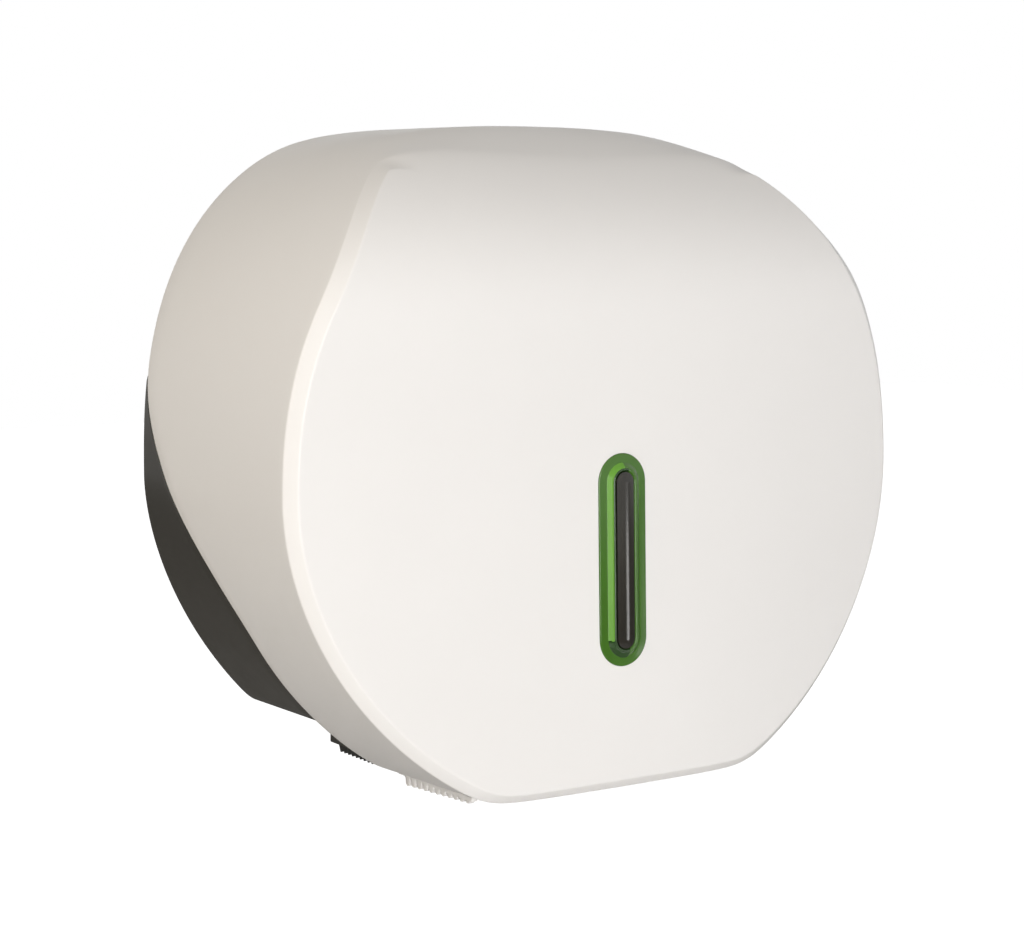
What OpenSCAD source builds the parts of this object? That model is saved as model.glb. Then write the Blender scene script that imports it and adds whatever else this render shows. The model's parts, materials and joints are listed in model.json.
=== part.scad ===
// Jumbo toilet roll dispenser for a wall: a dark rear housing, a white hinged cover with a
// green window, a free-turning roll hub, tear combs and a key lock. Lengths are millimetres.
// The origin is on the wall, on the roll's axis. X is right, Y goes into the wall, Z is up.

/* [Body outline] */
// Half of the width of the body where the side meets the front
front_half_width = 160.4; // [140:0.2:190]
// How much wider the body is at the wall, on each side
wall_flare_x = 4.3; // [0:0.1:10]
// Rise of the front's oval above its widest level
front_rise = 155.5; // [150:0.5:180]
// How much further the oval rises at the wall
wall_flare_up = 4.6; // [0:0.1:10]
// Drop of the front's oval below its widest level
front_drop = 150.2; // [146:0.2:170]
// How much further the oval drops at the wall
wall_flare_down = 10.3; // [0:0.1:20]
// How late the upper sides draw in towards the front; 1 draws them in evenly
side_lag = 1.92; // [1:0.02:3]
// Height of the widest level above the roll's axis
widest_z = -6.5; // [-15:0.5:5]
// Depth from the wall to the side edges of the front
body_depth = 125; // [118:1:150]
// Height of the cover's flat bottom
cover_bottom_z = -140; // [-146:0.5:-136]
// Height of the rear housing's flat bottom
housing_bottom_z = -115; // [-116:0.5:-112]

/* [Top] */
// Height of the middle of the top
top_z = 147; // [144:0.5:150]
// How far the top falls 100 mm to each side of its middle
top_fall = 9.4; // [4:0.2:14]
// Depth at which the top starts to slope down to the front
top_slope_start = 63.2; // [56:0.2:70]
// Depth of the crease where the top meets the front
crease_depth = 94.3; // [88:0.1:100]
// Height of that crease in the middle
crease_z = 132.3; // [128:0.1:136]
// How far the crease rises 100 mm to each side of its middle
crease_rise = 2.3; // [0:0.1:4]

/* [Front] */
// How far the middle of the front stands out past its side edges
front_bulge = 8.2; // [2:0.2:16]
// Height below which the middle of the front stands out further
low_bulge_z = 40; // [0:5:60]
// How much further it stands out 100 mm below that height
low_bulge = 0.8; // [0:0.1:3]
// How far the front leans back over 100 mm of height
front_lean = 1.9; // [0:0.1:5]
// Height at which the front starts to curve back to the top
front_curve_z = 66.2; // [50:0.2:80]
// How far back that curve has come at the crease
front_curve_depth = 36.2; // [30:0.2:40]
// Width of the flat bevel round the front
bevel_width = 4.4; // [2:0.1:7]
// Width of the bevel on the top
top_bevel_width = 8.3; // [4:0.1:12]
// Width of the bevel on the front, along the top
top_bevel_drop = 1.5; // [1:0.1:4]

/* [Cover shell] */
// Wall thickness of the cover
cover_wall = 2.5; // [1.8:0.1:3.2]
// Gap between the cover's rear edge and the wall
wall_gap = 0.8; // [0.6:0.1:2]
// Gap between the cover's swept edge and the rear housing
rim_gap = 0.8; // [0.5:0.1:1.4]
// Distance of the cover's lower rear edge from the wall
rim_depth = 60; // [58:0.5:62]
// Height at which the cover's rear edge leaves the wall
rim_top_z = 46; // [30:1:60]
// Height at which the cover's rear edge reaches its full distance from the wall
rim_low_z = -78; // [-90:1:-60]

/* [Rear housing] */
// Thickness of the back plate
plate_thickness = 3; // [2:0.2:4]
// Wall thickness of the housing's skin
housing_wall = 2.5; // [1.8:0.1:3.2]
// Depth of the flange that stands inside the cover at the top
flange_depth = 14; // [8:1:15]
// How far the flange reaches under the cover at the sides
low_flange_reach = 3; // [2:0.5:5]
// Gap between that flange and the cover
flange_gap = 0.9; // [0.6:0.1:1.5]
// Depth of the plates that carry the rear combs
cheek_depth = 40; // [36:1:42]
// Width between the wall screws
screw_spacing_x = 210; // [190:1:230]
// Height between the wall screws
screw_spacing_z = 130; // [110:1:150]
// Diameter of the wall screws' holes
wall_hole_diameter = 5.5; // [4:0.5:7]
// Height of the ribs on the back plate
rib_height = 3; // [1:0.5:4]
// Thickness of the ribs on the back plate
rib_thickness = 2; // [1:0.5:4]
// Distance of the level ribs past the wall screws
rib_clearance = 19; // [14:1:22]

/* [Paper slot] */
// Width of the opening in the bottom
slot_width = 140; // [130:1:142]
// Depth of the lip that closes the bottom at the front
front_lip = 6; // [4:0.5:12]
// Depth of the strip that closes the bottom at the wall
rear_lip = 5; // [4:0.5:12]

/* [Tear combs] */
// Thickness of each comb
comb_thickness = 3; // [2:0.2:4]
// Height of each comb's bar above its teeth
comb_bar_height = 9; // [6:0.5:10]
// Height of the rounded front teeth
front_tooth_height = 3.6; // [2:0.1:5]
// Number of teeth in a front comb
front_tooth_count = 11; // [6:1:20]
// Gap between a front comb and the lip at the front
front_comb_clearance = 0.5; // [0.3:0.1:3]
// Height of the front comb's tips at its rear end
front_comb_rear_z = -144.7; // [-146:0.1:-143]
// Height of the front comb's tips at its front end
front_comb_front_z = -141.6; // [-144:0.1:-141]
// Height of the pointed rear teeth
rear_tooth_height = 3.4; // [2:0.1:5]
// Number of teeth in a rear comb
rear_tooth_count = 9; // [5:1:20]
// Height of the rear comb's tips
rear_comb_tip_z = -141.2; // [-144:0.1:-139]
// Distance of the rear comb's front end from the wall
rear_comb_reach = 37.5; // [30:0.5:38]

/* [Hinge] */
// Distance of the hinge from the wall
hinge_depth = 63; // [62:0.5:66]
// Height of the hinge
hinge_z = -123; // [-124:0.5:-121]
// Diameter of the hinge pins
hinge_pin_diameter = 5; // [4:0.2:6]
// Radial running clearance of the hinge pins
hinge_clearance = 0.05; // [0.02:0.01:0.1]
// Outer diameter of the hinge knuckles
knuckle_diameter = 12; // [10:0.5:12]
// Thickness of the housing's hinge arms
arm_thickness = 5; // [4:0.5:6]
// Gap between an arm and the cover's knuckle
knuckle_gap = 1; // [0.5:0.1:1.5]

/* [Roll hub] */
// Outer diameter of the hub that carries the roll's core
hub_diameter = 54; // [40:1:70]
// Length of the hub
hub_length = 95; // [85:0.5:98]
// Wall of the hub's outer tube
hub_wall = 2.5; // [2:0.1:4]
// Diameter of the hub's rear flange
hub_flange_diameter = 96; // [80:1:120]
// Thickness of the hub's rear flange
hub_flange_thickness = 3; // [2:0.2:4]
// Number of spokes in the hub
spoke_count = 6; // [3:1:8]
// Diameter of the fixed axle
axle_diameter = 20; // [14:0.5:24]
// Radial running clearance of the hub on the axle
axle_clearance = 0.06; // [0.02:0.01:0.1]
// Diameter of the axle's foot
foot_diameter = 60; // [52:1:70]
// Thickness of the axle's foot
foot_thickness = 5; // [4:0.5:6]
// Height of the boss under the axle's foot
boss_height = 4; // [2:0.5:5]
// Thickness of the thrust washers
washer_thickness = 2; // [1:0.1:3]
// End play of the hub at each washer
end_play = 0.3; // [0.2:0.05:0.6]

/* [Window] */
// Width of the window's bezel
bezel_width = 24.8; // [20:0.2:30]
// Length of the window's bezel
bezel_length = 92.4; // [70:0.2:110]
// Height of the window's middle
window_z = -39.8; // [-60:0.2:-30]
// Place of the window's middle to the right of the body's
window_x = -2.8; // [-6:0.2:6]
// Width of the bezel's flat ring
ring_width = 5; // [3:0.1:7]
// How far the ring stands out of the front
ring_height = 0.8; // [0.4:0.1:1.6]
// Width of the slope that rises from the ring to the lens
slope_width = 1.9; // [1:0.1:2.4]
// Height of the slope above the ring
slope_height = 1.9; // [1:0.1:3]
// Width of the rim between the slope and the lens
lens_rim_width = 1; // [0.6:0.1:1.4]
// How far the lens's middle stands out of its rim
lens_crown = 0.8; // [0.4:0.1:1.5]
// Radius of the lens's rounded front
lens_radius = 10.6; // [8:0.2:14]
// Thickness of the lens in its middle
lens_thickness = 4; // [3:0.2:6]

/* [Lock] */
// Distance of the lock from the wall
lock_depth = 30; // [29:0.5:34]
// Diameter of the lock's barrel
barrel_diameter = 14; // [10:0.5:16]
// Radial running clearance of the barrel
barrel_clearance = 0.05; // [0.02:0.01:0.1]
// Outer diameter of the lock's threaded sleeve
sleeve_diameter = 18; // [17:0.5:20]
// Diameter of the sleeve's flange on the cover
sleeve_flange_diameter = 23; // [21:0.5:26]
// Length of the cam from its axis to its tip
cam_length = 18; // [17:0.5:19]
// Width of the cam
cam_width = 8; // [6:0.5:9]
// Thickness of the cam and of the striker
catch_thickness = 2.5; // [2:0.1:3]

/* [Hidden] */
$fn = 96;

// Colours as the photograph shows them
white = [0.93, 0.92, 0.91];
dark_grey = [0.21, 0.2, 0.18];
black = [0.07, 0.07, 0.07];
green = [0.27, 0.5, 0.15];
smoke = [0.3, 0.29, 0.28, 0.6];
steel = [0.75, 0.76, 0.77];
grey = [0.55, 0.55, 0.55];

// Exponents of the oval outlines: above and below the widest level
front_top_power = 2.19;
front_low_power = 1.89;
wall_top_power = 2.62;
wall_low_power = 1.75;
// Exponents of the top's fall to the sides and to the front, and of the front's curve
top_fall_power = 2.69;
top_slope_power = 1.3;
front_curve_power = 2.19;
// Sharpness of the corners between the oval and the flat bottoms
corner_power = 60;
// Sharpness of the corner between the oval and the top, at the wall and at the front
wall_crown_power = 99;
front_crown_power = 54;
// Widest place at which the top's fall is still followed, and the steps that find the top
top_reach = 125;
top_search_steps = 5;
// Least sine used for a ray to the top, and shares of the half width that bound its edge
top_least_sine = 0.35;
edge_search_low = 0.4;
edge_search_high = 1.3;
// Sine of the angle at which the sides are full late, and between which the bevel changes
lag_full_sine = 0.6;
bevel_turn_low = 0.52;
bevel_turn_high = 0.86;
// Exponent of the sweep of the cover's rear edge
rim_power = 1.15;
// Steps round the outline, and the bisection steps that find the front's edge
outline_steps = 120;
edge_search_steps = 18;
// Small step that keeps a cut clear of the face it starts from
cut = 1;

// --- Formulae of the body ---

// Distance from the centre to an oval with half width a, half height h and power p
function oval(c, s, a, h, p) = pow(pow(c / a, p) + pow(s / h, p), -1 / p);

// Distance from the centre to an outline with a flat bottom, at an angle round it
function outline(angle, a, rise, top_p, drop, low_p, bottom) =
    let (c = max(abs(cos(angle)), 0.00001), s = sin(angle))
    s >= 0 ? oval(c, max(s, 0.00001), a, rise, top_p)
           : let (round_r = oval(c, -s, a, drop, low_p), flat_r = (widest_z - bottom) / max(-s, 0.01))
             pow(pow(round_r, -corner_power) + pow(flat_r, -corner_power), -1 / corner_power);

// Height of the top at a place, and the distance from the centre at which a ray meets it
function top_height(x, y) =
    let (side = pow(min(abs(x), top_reach) / 100, top_fall_power),
         high = top_z - top_fall * side, low = crease_z + crease_rise * side,
         t = max((-top_slope_start - y) / (crease_depth - top_slope_start), 0))
    high - (high - low) * pow(t, top_slope_power);

function top_r(angle, y, inset, steps) =
    steps == 0 ? top_z
    : (top_height(top_r(angle, y, inset, steps - 1) * cos(angle), y) - inset - widest_z)
      / max(sin(angle), top_least_sine);

// Distance to the side at a depth y (negative in front of the wall), moved in by inset
function side_r(angle, y, inset, bottom) =
    let (t = max(-y / body_depth, 0), s = sin(angle),
         wall_r = outline(angle, front_half_width + wall_flare_x - inset, front_rise + wall_flare_up - inset,
                          wall_top_power, front_drop + wall_flare_down - inset, wall_low_power,
                          bottom + inset),
         front_r = outline(angle, front_half_width - inset, front_rise - inset, front_top_power,
                           front_drop - inset, front_low_power, bottom + inset),
         lag = s > 0 ? 1 + (side_lag - 1) * ease(s / lag_full_sine) : 1,
         oval_r = wall_r + (front_r - wall_r) * pow(t, lag),
         crown_power = wall_crown_power + (front_crown_power - wall_crown_power) * t)
    s <= 0 ? oval_r
    : oval_r * pow(1 + pow(oval_r / max(top_r(angle, y, inset, top_search_steps), 60), crown_power),
                   -1 / crown_power);

function cover_r(angle, y, inset) = side_r(angle, y, inset, cover_bottom_z);
function housing_r(angle, y, inset) = side_r(angle, y, inset, housing_bottom_z);

// Depth of the front at a place, with its bulge, its lean and its curve back, moved in by inset
function front_y(x, z, inset) =
    let (u = max((z - front_curve_z) / (crease_z - front_curve_z), 0),
         bulge = front_bulge + low_bulge * pow(max(low_bulge_z - z, 0) / 100, 2))
    -body_depth - bulge * (1 - pow(x / front_half_width, 2)) + front_lean * z / 100
    + front_curve_depth * pow(u, front_curve_power) + inset;

function front_y_at(angle, r, inset) = min(front_y(r * cos(angle), widest_z + r * sin(angle), inset), 0);

// Bisection for the distance at which the side meets the front
function edge_r(angle, inset, low, high, steps) =
    let (mid = (low + high) / 2)
    steps == 0 ? mid
    : cover_r(angle, front_y_at(angle, mid, inset), inset) > mid
        ? edge_r(angle, inset, mid, high, steps - 1)
        : edge_r(angle, inset, low, mid, steps - 1);

function place(angle, r, y) = [r * cos(angle), y, widest_z + r * sin(angle)];
function ease(t) = let (u = min(max(t, 0), 1)) u * u * (3 - 2 * u);

// Depth of the cover's swept rear edge at a height
function rim_y(z) =
    let (share = ease((rim_top_z - z) / (rim_top_z - rim_low_z)))
    -wall_gap - (rim_depth - wall_gap) * pow(share, rim_power);

// Rear edge of the cover at an angle round the outline
function cover_rim_y(angle) = rim_y(widest_z + cover_r(angle, 0, 0) * sin(angle));

// --- Cover shell ---

// Fractions of the way from the centre to the front's edge at which rings of points lie,
// outside and inside, and of the way from the rear edge to the bevel
outer_rings = [1, 0.985, 0.965, 0.94, 0.91, 0.875, 0.83, 0.77, 0.7, 0.6, 0.46, 0.3, 0.14];
inner_rings = [1, 0.97, 0.93, 0.88, 0.81, 0.7, 0.5, 0.25];
outer_side_steps = [0, 0.35, 0.6, 0.72, 0.82, 0.91, 1];
inner_side_steps = [0, 0.5, 0.72, 0.87, 1];

// One line of points from the rear edge over the bevel to the middle of the front
function cover_line(angle, inset, side_steps, rings) =
    let (start_y = cover_rim_y(angle),
         edge = edge_r(angle, inset, front_half_width * edge_search_low, front_half_width * edge_search_high,
                       edge_search_steps),
         edge_y = front_y_at(angle, edge, inset),
         slope = edge_y - front_y_at(angle, edge - 1, inset),
         turn = ease((sin(angle) - bevel_turn_low) / (bevel_turn_high - bevel_turn_low)),
         side_leg = bevel_width + (top_bevel_width - bevel_width) * turn,
         front_leg = bevel_width + (top_bevel_drop - bevel_width) * turn,
         side_y = edge_y + side_leg,
         inner = edge - front_leg / sqrt(1 + slope * slope))
    concat(
        [for (t = side_steps)
            let (y = start_y + (side_y - start_y) * t) place(angle, cover_r(angle, y, inset), y)],
        [for (f = rings) place(angle, inner * f, front_y_at(angle, inner * f, inset))]);

// Joins rows of points round the outline into faces, row after row
function band_faces(rows, steps) =
    [for (j = [0 : rows - 2], i = [0 : steps - 1], half = [0, 1])
        let (k = (i + 1) % steps, a = j * steps + i, b = j * steps + k, c = a + steps, d = b + steps)
        half == 0 ? [a, b, d] : [a, d, c]];

// A closed shell from rows that run down the outside, with tip, and up the inside, with tip
module shell(outer_lines, inner_lines, outer_tip, inner_tip) {
    steps = len(outer_lines);
    rows_out = len(outer_lines[0]);
    rows_in = len(inner_lines[0]);
    outer_points = [for (j = [rows_out - 1 : -1 : 0], i = [0 : steps - 1]) outer_lines[i][j]];
    inner_points = [for (j = [0 : rows_in - 1], i = [0 : steps - 1]) inner_lines[i][j]];
    count = (rows_out + rows_in) * steps;
    polyhedron(
        points = concat(outer_points, inner_points, [outer_tip, inner_tip]),
        faces = concat(
            [for (i = [0 : steps - 1]) [count, (i + 1) % steps, i]],
            band_faces(rows_out + rows_in, steps),
            [for (i = [0 : steps - 1]) [count + 1, count - steps + i, count - steps + (i + 1) % steps]]),
        convexity = 8);
}

// Angles round the outline, twice as close near the corners at the top and the bottom
corner_angles = [54, 126, 222.5, 241, 299, 317.5];
corner_reach = 5.4;
step_angle = 360 / outline_steps;

function near_corner(angle) = min([for (corner = corner_angles) abs(angle - corner)]) < corner_reach;

angles = [for (i = [0 : outline_steps - 1]) let (a = i * step_angle)
    each (near_corner(a + step_angle / 2) ? [a, a + step_angle / 2] : [a])];
back_angles = [for (i = [len(angles) - 1 : -1 : 0]) angles[i]];

module cover_skin() {
    shell([for (a = angles) cover_line(a, 0, outer_side_steps, outer_rings)],
          [for (a = angles) cover_line(a, cover_wall, inner_side_steps, inner_rings)],
          [0, front_y(0, widest_z, 0), widest_z], [0, front_y(0, widest_z, cover_wall), widest_z]);
}

// --- Shapes used more than once ---

// A cylinder along Y between two depths, or along X or Z between two places
module rod_y(radius, low, high) {
    translate([0, high, 0]) rotate([90, 0, 0]) cylinder(r = radius, h = high - low);
}
module rod_x(radius, low, high) {
    translate([low, 0, 0]) rotate([0, 90, 0]) cylinder(r = radius, h = high - low);
}
module rod_z(radius, low, high) {
    translate([0, 0, low]) cylinder(r = radius, h = high - low);
}

// A box between two corners
module block(low, high) {
    translate(low) cube(high - low);
}

// A shape and its mirror image across the middle
module both_sides() {
    for (side = [0, 1]) mirror([side, 0, 0]) children();
}

// --- Places worked out from the sizes ---

slot_x = slot_width / 2;
comb_outer_x = slot_x;
comb_inner_x = slot_x - comb_thickness;
cheek_x = slot_x + comb_thickness;
arm_outer_x = comb_inner_x - knuckle_gap - 1;
arm_inner_x = arm_outer_x - arm_thickness;
knuckle_inner_x = arm_outer_x + knuckle_gap;
hinge_y = -hinge_depth;
knuckle_r = knuckle_diameter / 2;
pin_r = hinge_pin_diameter / 2;
pin_head_length = 1.6;
pin_head_r = pin_r + 1.4;
slot_front_y = -body_depth + front_lip;

// --- Rear housing ---

// Height at which the skin starts to draw in under the cover, and the height it needs for it
lip_end_z = 36;
lip_end_height = 5;
flange_inset = cover_wall + flange_gap;
flush_inset = 0.3;
lip_step = 0.4;
lip_least_depth = 0.3;
// Depths of skin between which its inside draws out to an even wall
joggle_low_depth = 5;
joggle_high_depth = 11;
// Heights between which the flange grows to its full depth at the top
flange_grow_low_z = 10;
flange_grow_high_z = 40;

// How far the skin behind the cover's edge lies inside the body's outline
function lip_inset(z) =
    flush_inset + (flange_inset - lip_step - flush_inset) * ease((z - lip_end_z) / lip_end_height);

// Depth at which the skin steps in to pass under the cover, and depth of its front edge
function lip_y(z) = min(rim_y(z) + rim_gap, -lip_least_depth);

function flange_y(z) =
    min(lip_y(z), -plate_thickness) - low_flange_reach
    - (flange_depth - plate_thickness - low_flange_reach)
      * ease((z - flange_grow_low_z) / (flange_grow_high_z - flange_grow_low_z));

// How far the inside of the skin behind the step lies inside the body's outline
function skin_inset(z) =
    let (depth = -lip_y(z) - plate_thickness,
         even = ease((depth - joggle_low_depth) / (joggle_high_depth - joggle_low_depth)))
    flange_inset + (lip_inset(z) - flange_inset) * even + housing_wall;

function skin_z(angle) = widest_z + housing_r(angle, 0, 0) * sin(angle);

function housing_line_out(angle) =
    let (z = skin_z(angle), lip = lip_y(z), flange = flange_y(z), inset = lip_inset(z))
    [place(angle, housing_r(angle, flange, flange_inset), flange),
     place(angle, housing_r(angle, lip, flange_inset), lip),
     place(angle, housing_r(angle, lip, inset), lip),
     place(angle, housing_r(angle, lip / 2, inset), lip / 2),
     place(angle, housing_r(angle, 0, inset), 0)];

function housing_line_in(angle) =
    let (z = skin_z(angle), flange = flange_y(z), inset = flange_inset + housing_wall,
         step_y = min(lip_y(z) + housing_wall, -plate_thickness - 1),
         back_y = min(lip_y(z) + 2 * housing_wall, -plate_thickness - 0.5))
    [place(angle, housing_r(angle, flange, inset), flange),
     place(angle, housing_r(angle, step_y, inset), step_y),
     place(angle, housing_r(angle, back_y, skin_inset(z)), back_y),
     place(angle, housing_r(angle, -plate_thickness, skin_inset(z)), -plate_thickness)];

// The housing opens to the front and the cover to the back, so its angles run the other way
module housing_skin() {
    shell([for (a = back_angles) housing_line_out(a)], [for (a = back_angles) housing_line_in(a)],
          [0, 0, widest_z], [0, -plate_thickness, widest_z]);
}

module wall_screw_places() {
    for (x = [-1, 1], z = [-1, 1])
        translate([x * screw_spacing_x / 2, 0, z * screw_spacing_z / 2]) children();
}

wall_hole_r = wall_hole_diameter / 2;
// Height of the cut that opens the bottom wall and its flange for the paper
slot_cut_height = 12;
foot_r = foot_diameter / 2;
foot_screw_circle_r = 21;
foot_screw_count = 3;
foot_screw_r = 2;
foot_screw_head_r = 3.8;
foot_screw_head_height = 2.6;
screw_fit = 0.05;
foot_front_y = -plate_thickness - boss_height - foot_thickness;

module foot_screw_places() {
    for (i = [0 : foot_screw_count - 1]) rotate([0, 90 + i * 360 / foot_screw_count, 0])
        translate([foot_screw_circle_r, 0, 0]) children();
}

foot_screw_tip_y = -1.5;
rib_front_y = -plate_thickness - rib_height;
rib_root_y = -plate_thickness + 0.5;
// The level ribs pass above and below the wall screws, the upright ones between them
level_rib_z = screw_spacing_z / 2 + rib_clearance;
level_rib_reach = screw_spacing_x / 2 - 1;
upright_rib_x = screw_spacing_x * 0.3;
upright_rib_reach = level_rib_z + 12;
middle_rib_reach = front_half_width - 12;

// A rib between two places in X and Z
module rib(x1, x2, z1, z2) {
    block([x1, rib_front_y, z1], [x2, rib_root_y, z2]);
}

// Ribs that stiffen the back plate, clear of the wall screws
module plate_ribs() {
    half = rib_thickness / 2;
    for (z = [-level_rib_z, level_rib_z]) rib(-level_rib_reach, level_rib_reach, z - half, z + half);
    for (x = [-upright_rib_x, upright_rib_x])
        rib(x - half, x + half, -upright_rib_reach, upright_rib_reach);
    rib(-middle_rib_reach, middle_rib_reach, -half, half);
}

arm_top_z = hinge_z + knuckle_r;
arm_low_z = hinge_z - knuckle_r;
// Height in the bottom wall at which the parts under it start
hanger_top_z = housing_bottom_z + 1;
arm_root_z = housing_bottom_z - 5;
arm_web_front_y = -cheek_depth + 4;
arm_web_thickness = 3;
// Length of the arm's straight lower edge, and of the slope from its end to the bottom wall
arm_straight = 20;
arm_slope = 10;

// An arm under the bottom wall, beside the paper slot, that carries a hinge pin at its end
module hinge_arm() {
    translate([arm_inner_x, 0, 0]) rotate([90, 0, 90]) linear_extrude(height = arm_thickness)
        polygon([[rib_root_y, hanger_top_z], [rib_root_y, arm_root_z], [hinge_y + arm_straight, arm_low_z],
                 [hinge_y, arm_low_z], [hinge_y, arm_top_z], [hinge_y + arm_slope, hanger_top_z]]);
    translate([0, hinge_y, hinge_z]) rod_x(knuckle_r, arm_inner_x, arm_outer_x);
    block([arm_inner_x, arm_web_front_y, arm_low_z + 1],
          [slot_x + 1, arm_web_front_y + arm_web_thickness, hanger_top_z]);
}

rear_comb_root_z = rear_comb_tip_z + rear_tooth_height;

// The plate that a rear comb is seated on
module rear_cheek() {
    block([slot_x, -cheek_depth, rear_comb_root_z + 1], [cheek_x, rib_root_y, hanger_top_z]);
}

striker_screw_r = 1.75;
striker_screw_head_r = 3.4;
striker_screw_head_height = 2.2;
striker_screw_tip_y = -1;

module rear_housing() {
    color(dark_grey) difference() {
        union() {
            housing_skin();
            rod_y(foot_r + 2, -plate_thickness - boss_height, rib_root_y);
            difference() {
                plate_ribs();
                rod_y(foot_r, -plate_thickness - boss_height - cut, 0);
            }
            both_sides() {
                hinge_arm();
                rear_cheek();
            }
        }
        block([-arm_inner_x, flange_y(housing_bottom_z) - cut, cover_bottom_z],
              [arm_inner_x, -rear_lip, housing_bottom_z + slot_cut_height]);
        wall_screw_places() rod_y(wall_hole_r, -plate_thickness - boss_height, cut);
        foot_screw_places()
            rod_y(foot_screw_r + screw_fit, -plate_thickness - boss_height - cut, foot_screw_tip_y);
        striker_screw_places()
            rod_y(striker_screw_r + screw_fit, -plate_thickness - cut, striker_screw_tip_y);
        both_sides() translate([0, hinge_y, hinge_z])
            rod_x(pin_r + screw_fit, arm_inner_x - cut, arm_outer_x + cut);
    }
}

// --- Axle and hub ---

axle_r = axle_diameter / 2;
hub_r = hub_diameter / 2;
hub_rear_y = foot_front_y - washer_thickness - end_play;
hub_front_y = hub_rear_y - hub_length;
axle_end_y = hub_front_y - end_play - washer_thickness;
axle_screw_r = 2.5;
axle_screw_depth = 18;
axle_cap_r = axle_r + 4;
axle_cap_thickness = 3;
axle_cap_screw_head_r = 4.6;
axle_cap_screw_head_height = 3;
washer_r = axle_r + 6;
washer_fit = 0.1;

module axle_post() {
    color(dark_grey) difference() {
        union() {
            rod_y(foot_r, foot_front_y, -plate_thickness - boss_height);
            rod_y(axle_r, axle_end_y, foot_front_y + 1);
        }
        rod_y(axle_screw_r + screw_fit, axle_end_y - cut, axle_end_y + axle_screw_depth);
        foot_screw_places() {
            rod_y(foot_screw_r + screw_fit, foot_front_y - cut, 0);
            rod_y(foot_screw_head_r + 0.2, foot_front_y - cut, foot_front_y + foot_screw_head_height + 0.2);
        }
    }
}

module axle_foot_screws() {
    color(steel) foot_screw_places() difference() {
        union() {
            rod_y(foot_screw_r, foot_front_y + 1, foot_screw_tip_y);
            rod_y(foot_screw_head_r, foot_front_y + 0.2, foot_front_y + foot_screw_head_height + 0.2);
        }
        cross_recess(foot_front_y, 2.2, 1.4);
    }
}

recess_half_width = 0.4;

// A cross-shaped driver recess that starts in front of a screw head
module cross_recess(front_y, reach, depth) {
    for (turn = [0, 90]) rotate([0, turn, 0])
        block([-reach, front_y - cut, -recess_half_width], [reach, front_y + depth, recess_half_width]);
}

module thrust_washer(low) {
    color(black) difference() {
        rod_y(washer_r, low, low + washer_thickness);
        rod_y(axle_r + washer_fit, low - cut, low + washer_thickness + cut);
    }
}

module thrust_washer_rear() {
    thrust_washer(foot_front_y - washer_thickness);
}

module thrust_washer_front() {
    thrust_washer(axle_end_y);
}

module axle_cap() {
    color(dark_grey) difference() {
        rod_y(axle_cap_r, axle_end_y - axle_cap_thickness, axle_end_y);
        rod_y(axle_screw_r + screw_fit, axle_end_y - axle_cap_thickness - cut, axle_end_y + cut);
    }
}

module axle_cap_screw() {
    color(steel) difference() {
        union() {
            rod_y(axle_screw_r, axle_end_y - axle_cap_thickness - 1, axle_end_y + axle_screw_depth - 2);
            rod_y(axle_cap_screw_head_r, axle_end_y - axle_cap_thickness - axle_cap_screw_head_height,
                  axle_end_y - axle_cap_thickness);
        }
        cross_recess(axle_end_y - axle_cap_thickness - axle_cap_screw_head_height, 2.8, 1.6);
    }
}

hub_tube_r = axle_r + 4;
spoke_thickness = 2;

module core_hub() {
    color(grey) difference() {
        union() {
            difference() {
                rod_y(hub_r, hub_front_y, hub_rear_y);
                rod_y(hub_r - hub_wall, hub_front_y - cut, hub_rear_y + cut);
            }
            rod_y(hub_tube_r, hub_front_y, hub_rear_y);
            rod_y(hub_flange_diameter / 2, hub_rear_y - hub_flange_thickness, hub_rear_y);
            for (i = [0 : spoke_count - 1]) rotate([0, i * 360 / spoke_count, 0])
                block([hub_tube_r - 1, hub_front_y + 2, -spoke_thickness / 2],
                      [hub_r - hub_wall / 2, hub_rear_y - 1, spoke_thickness / 2]);
        }
        rod_y(axle_r + axle_clearance, hub_front_y - cut, hub_rear_y + cut);
    }
}

// --- Tear combs ---

// Half widths of the teeth, as shares of their pitch
round_tip_share = 0.36;
sharp_root_share = 0.46;

// A bar along Y with teeth under it; the bar's lower face is at z 0 and its rear end at y 0
module comb(length, count, tooth, rounded) {
    pitch = length / count;
    translate([0, -length, 0]) cube([comb_thickness, length, comb_bar_height]);
    for (i = [0 : count - 1]) translate([0, -(i + 0.5) * pitch, 0]) {
        if (rounded) {
            tip_r = pitch * round_tip_share;
            translate([0, 0, -tooth + tip_r]) rod_x(tip_r, 0, comb_thickness);
            translate([0, -tip_r, -tooth + tip_r]) cube([comb_thickness, 2 * tip_r, tooth - tip_r + 0.5]);
        } else {
            half = pitch * sharp_root_share;
            translate([comb_thickness, 0, 0]) rotate([90, 0, -90]) linear_extrude(height = comb_thickness)
                polygon([[-half, 0.5], [-half, 0], [0, -tooth], [half, 0], [half, 0.5]]);
        }
    }
}

front_comb_rear_y = hinge_y - 1.5;
front_comb_length = front_comb_rear_y - slot_front_y - front_comb_clearance;
front_comb_tilt = asin((front_comb_front_z - front_comb_rear_z) / front_comb_length);

// The places of the combs on the left, and the same mirrored for the right
module front_comb() {
    translate([-comb_outer_x, front_comb_rear_y, front_comb_rear_z + front_tooth_height])
        rotate([-front_comb_tilt, 0, 0])
            comb(front_comb_length, front_tooth_count, front_tooth_height, true);
}

rear_comb_length = rear_comb_reach - rear_lip - 0.5;

module rear_comb() {
    translate([-comb_outer_x, -rear_lip - 0.5, rear_comb_root_z])
        comb(rear_comb_length, rear_tooth_count, rear_tooth_height, false);
}

module tear_comb_front_left() {
    color(white) front_comb();
}

module tear_comb_front_right() {
    color(white) mirror([1, 0, 0]) front_comb();
}

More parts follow.
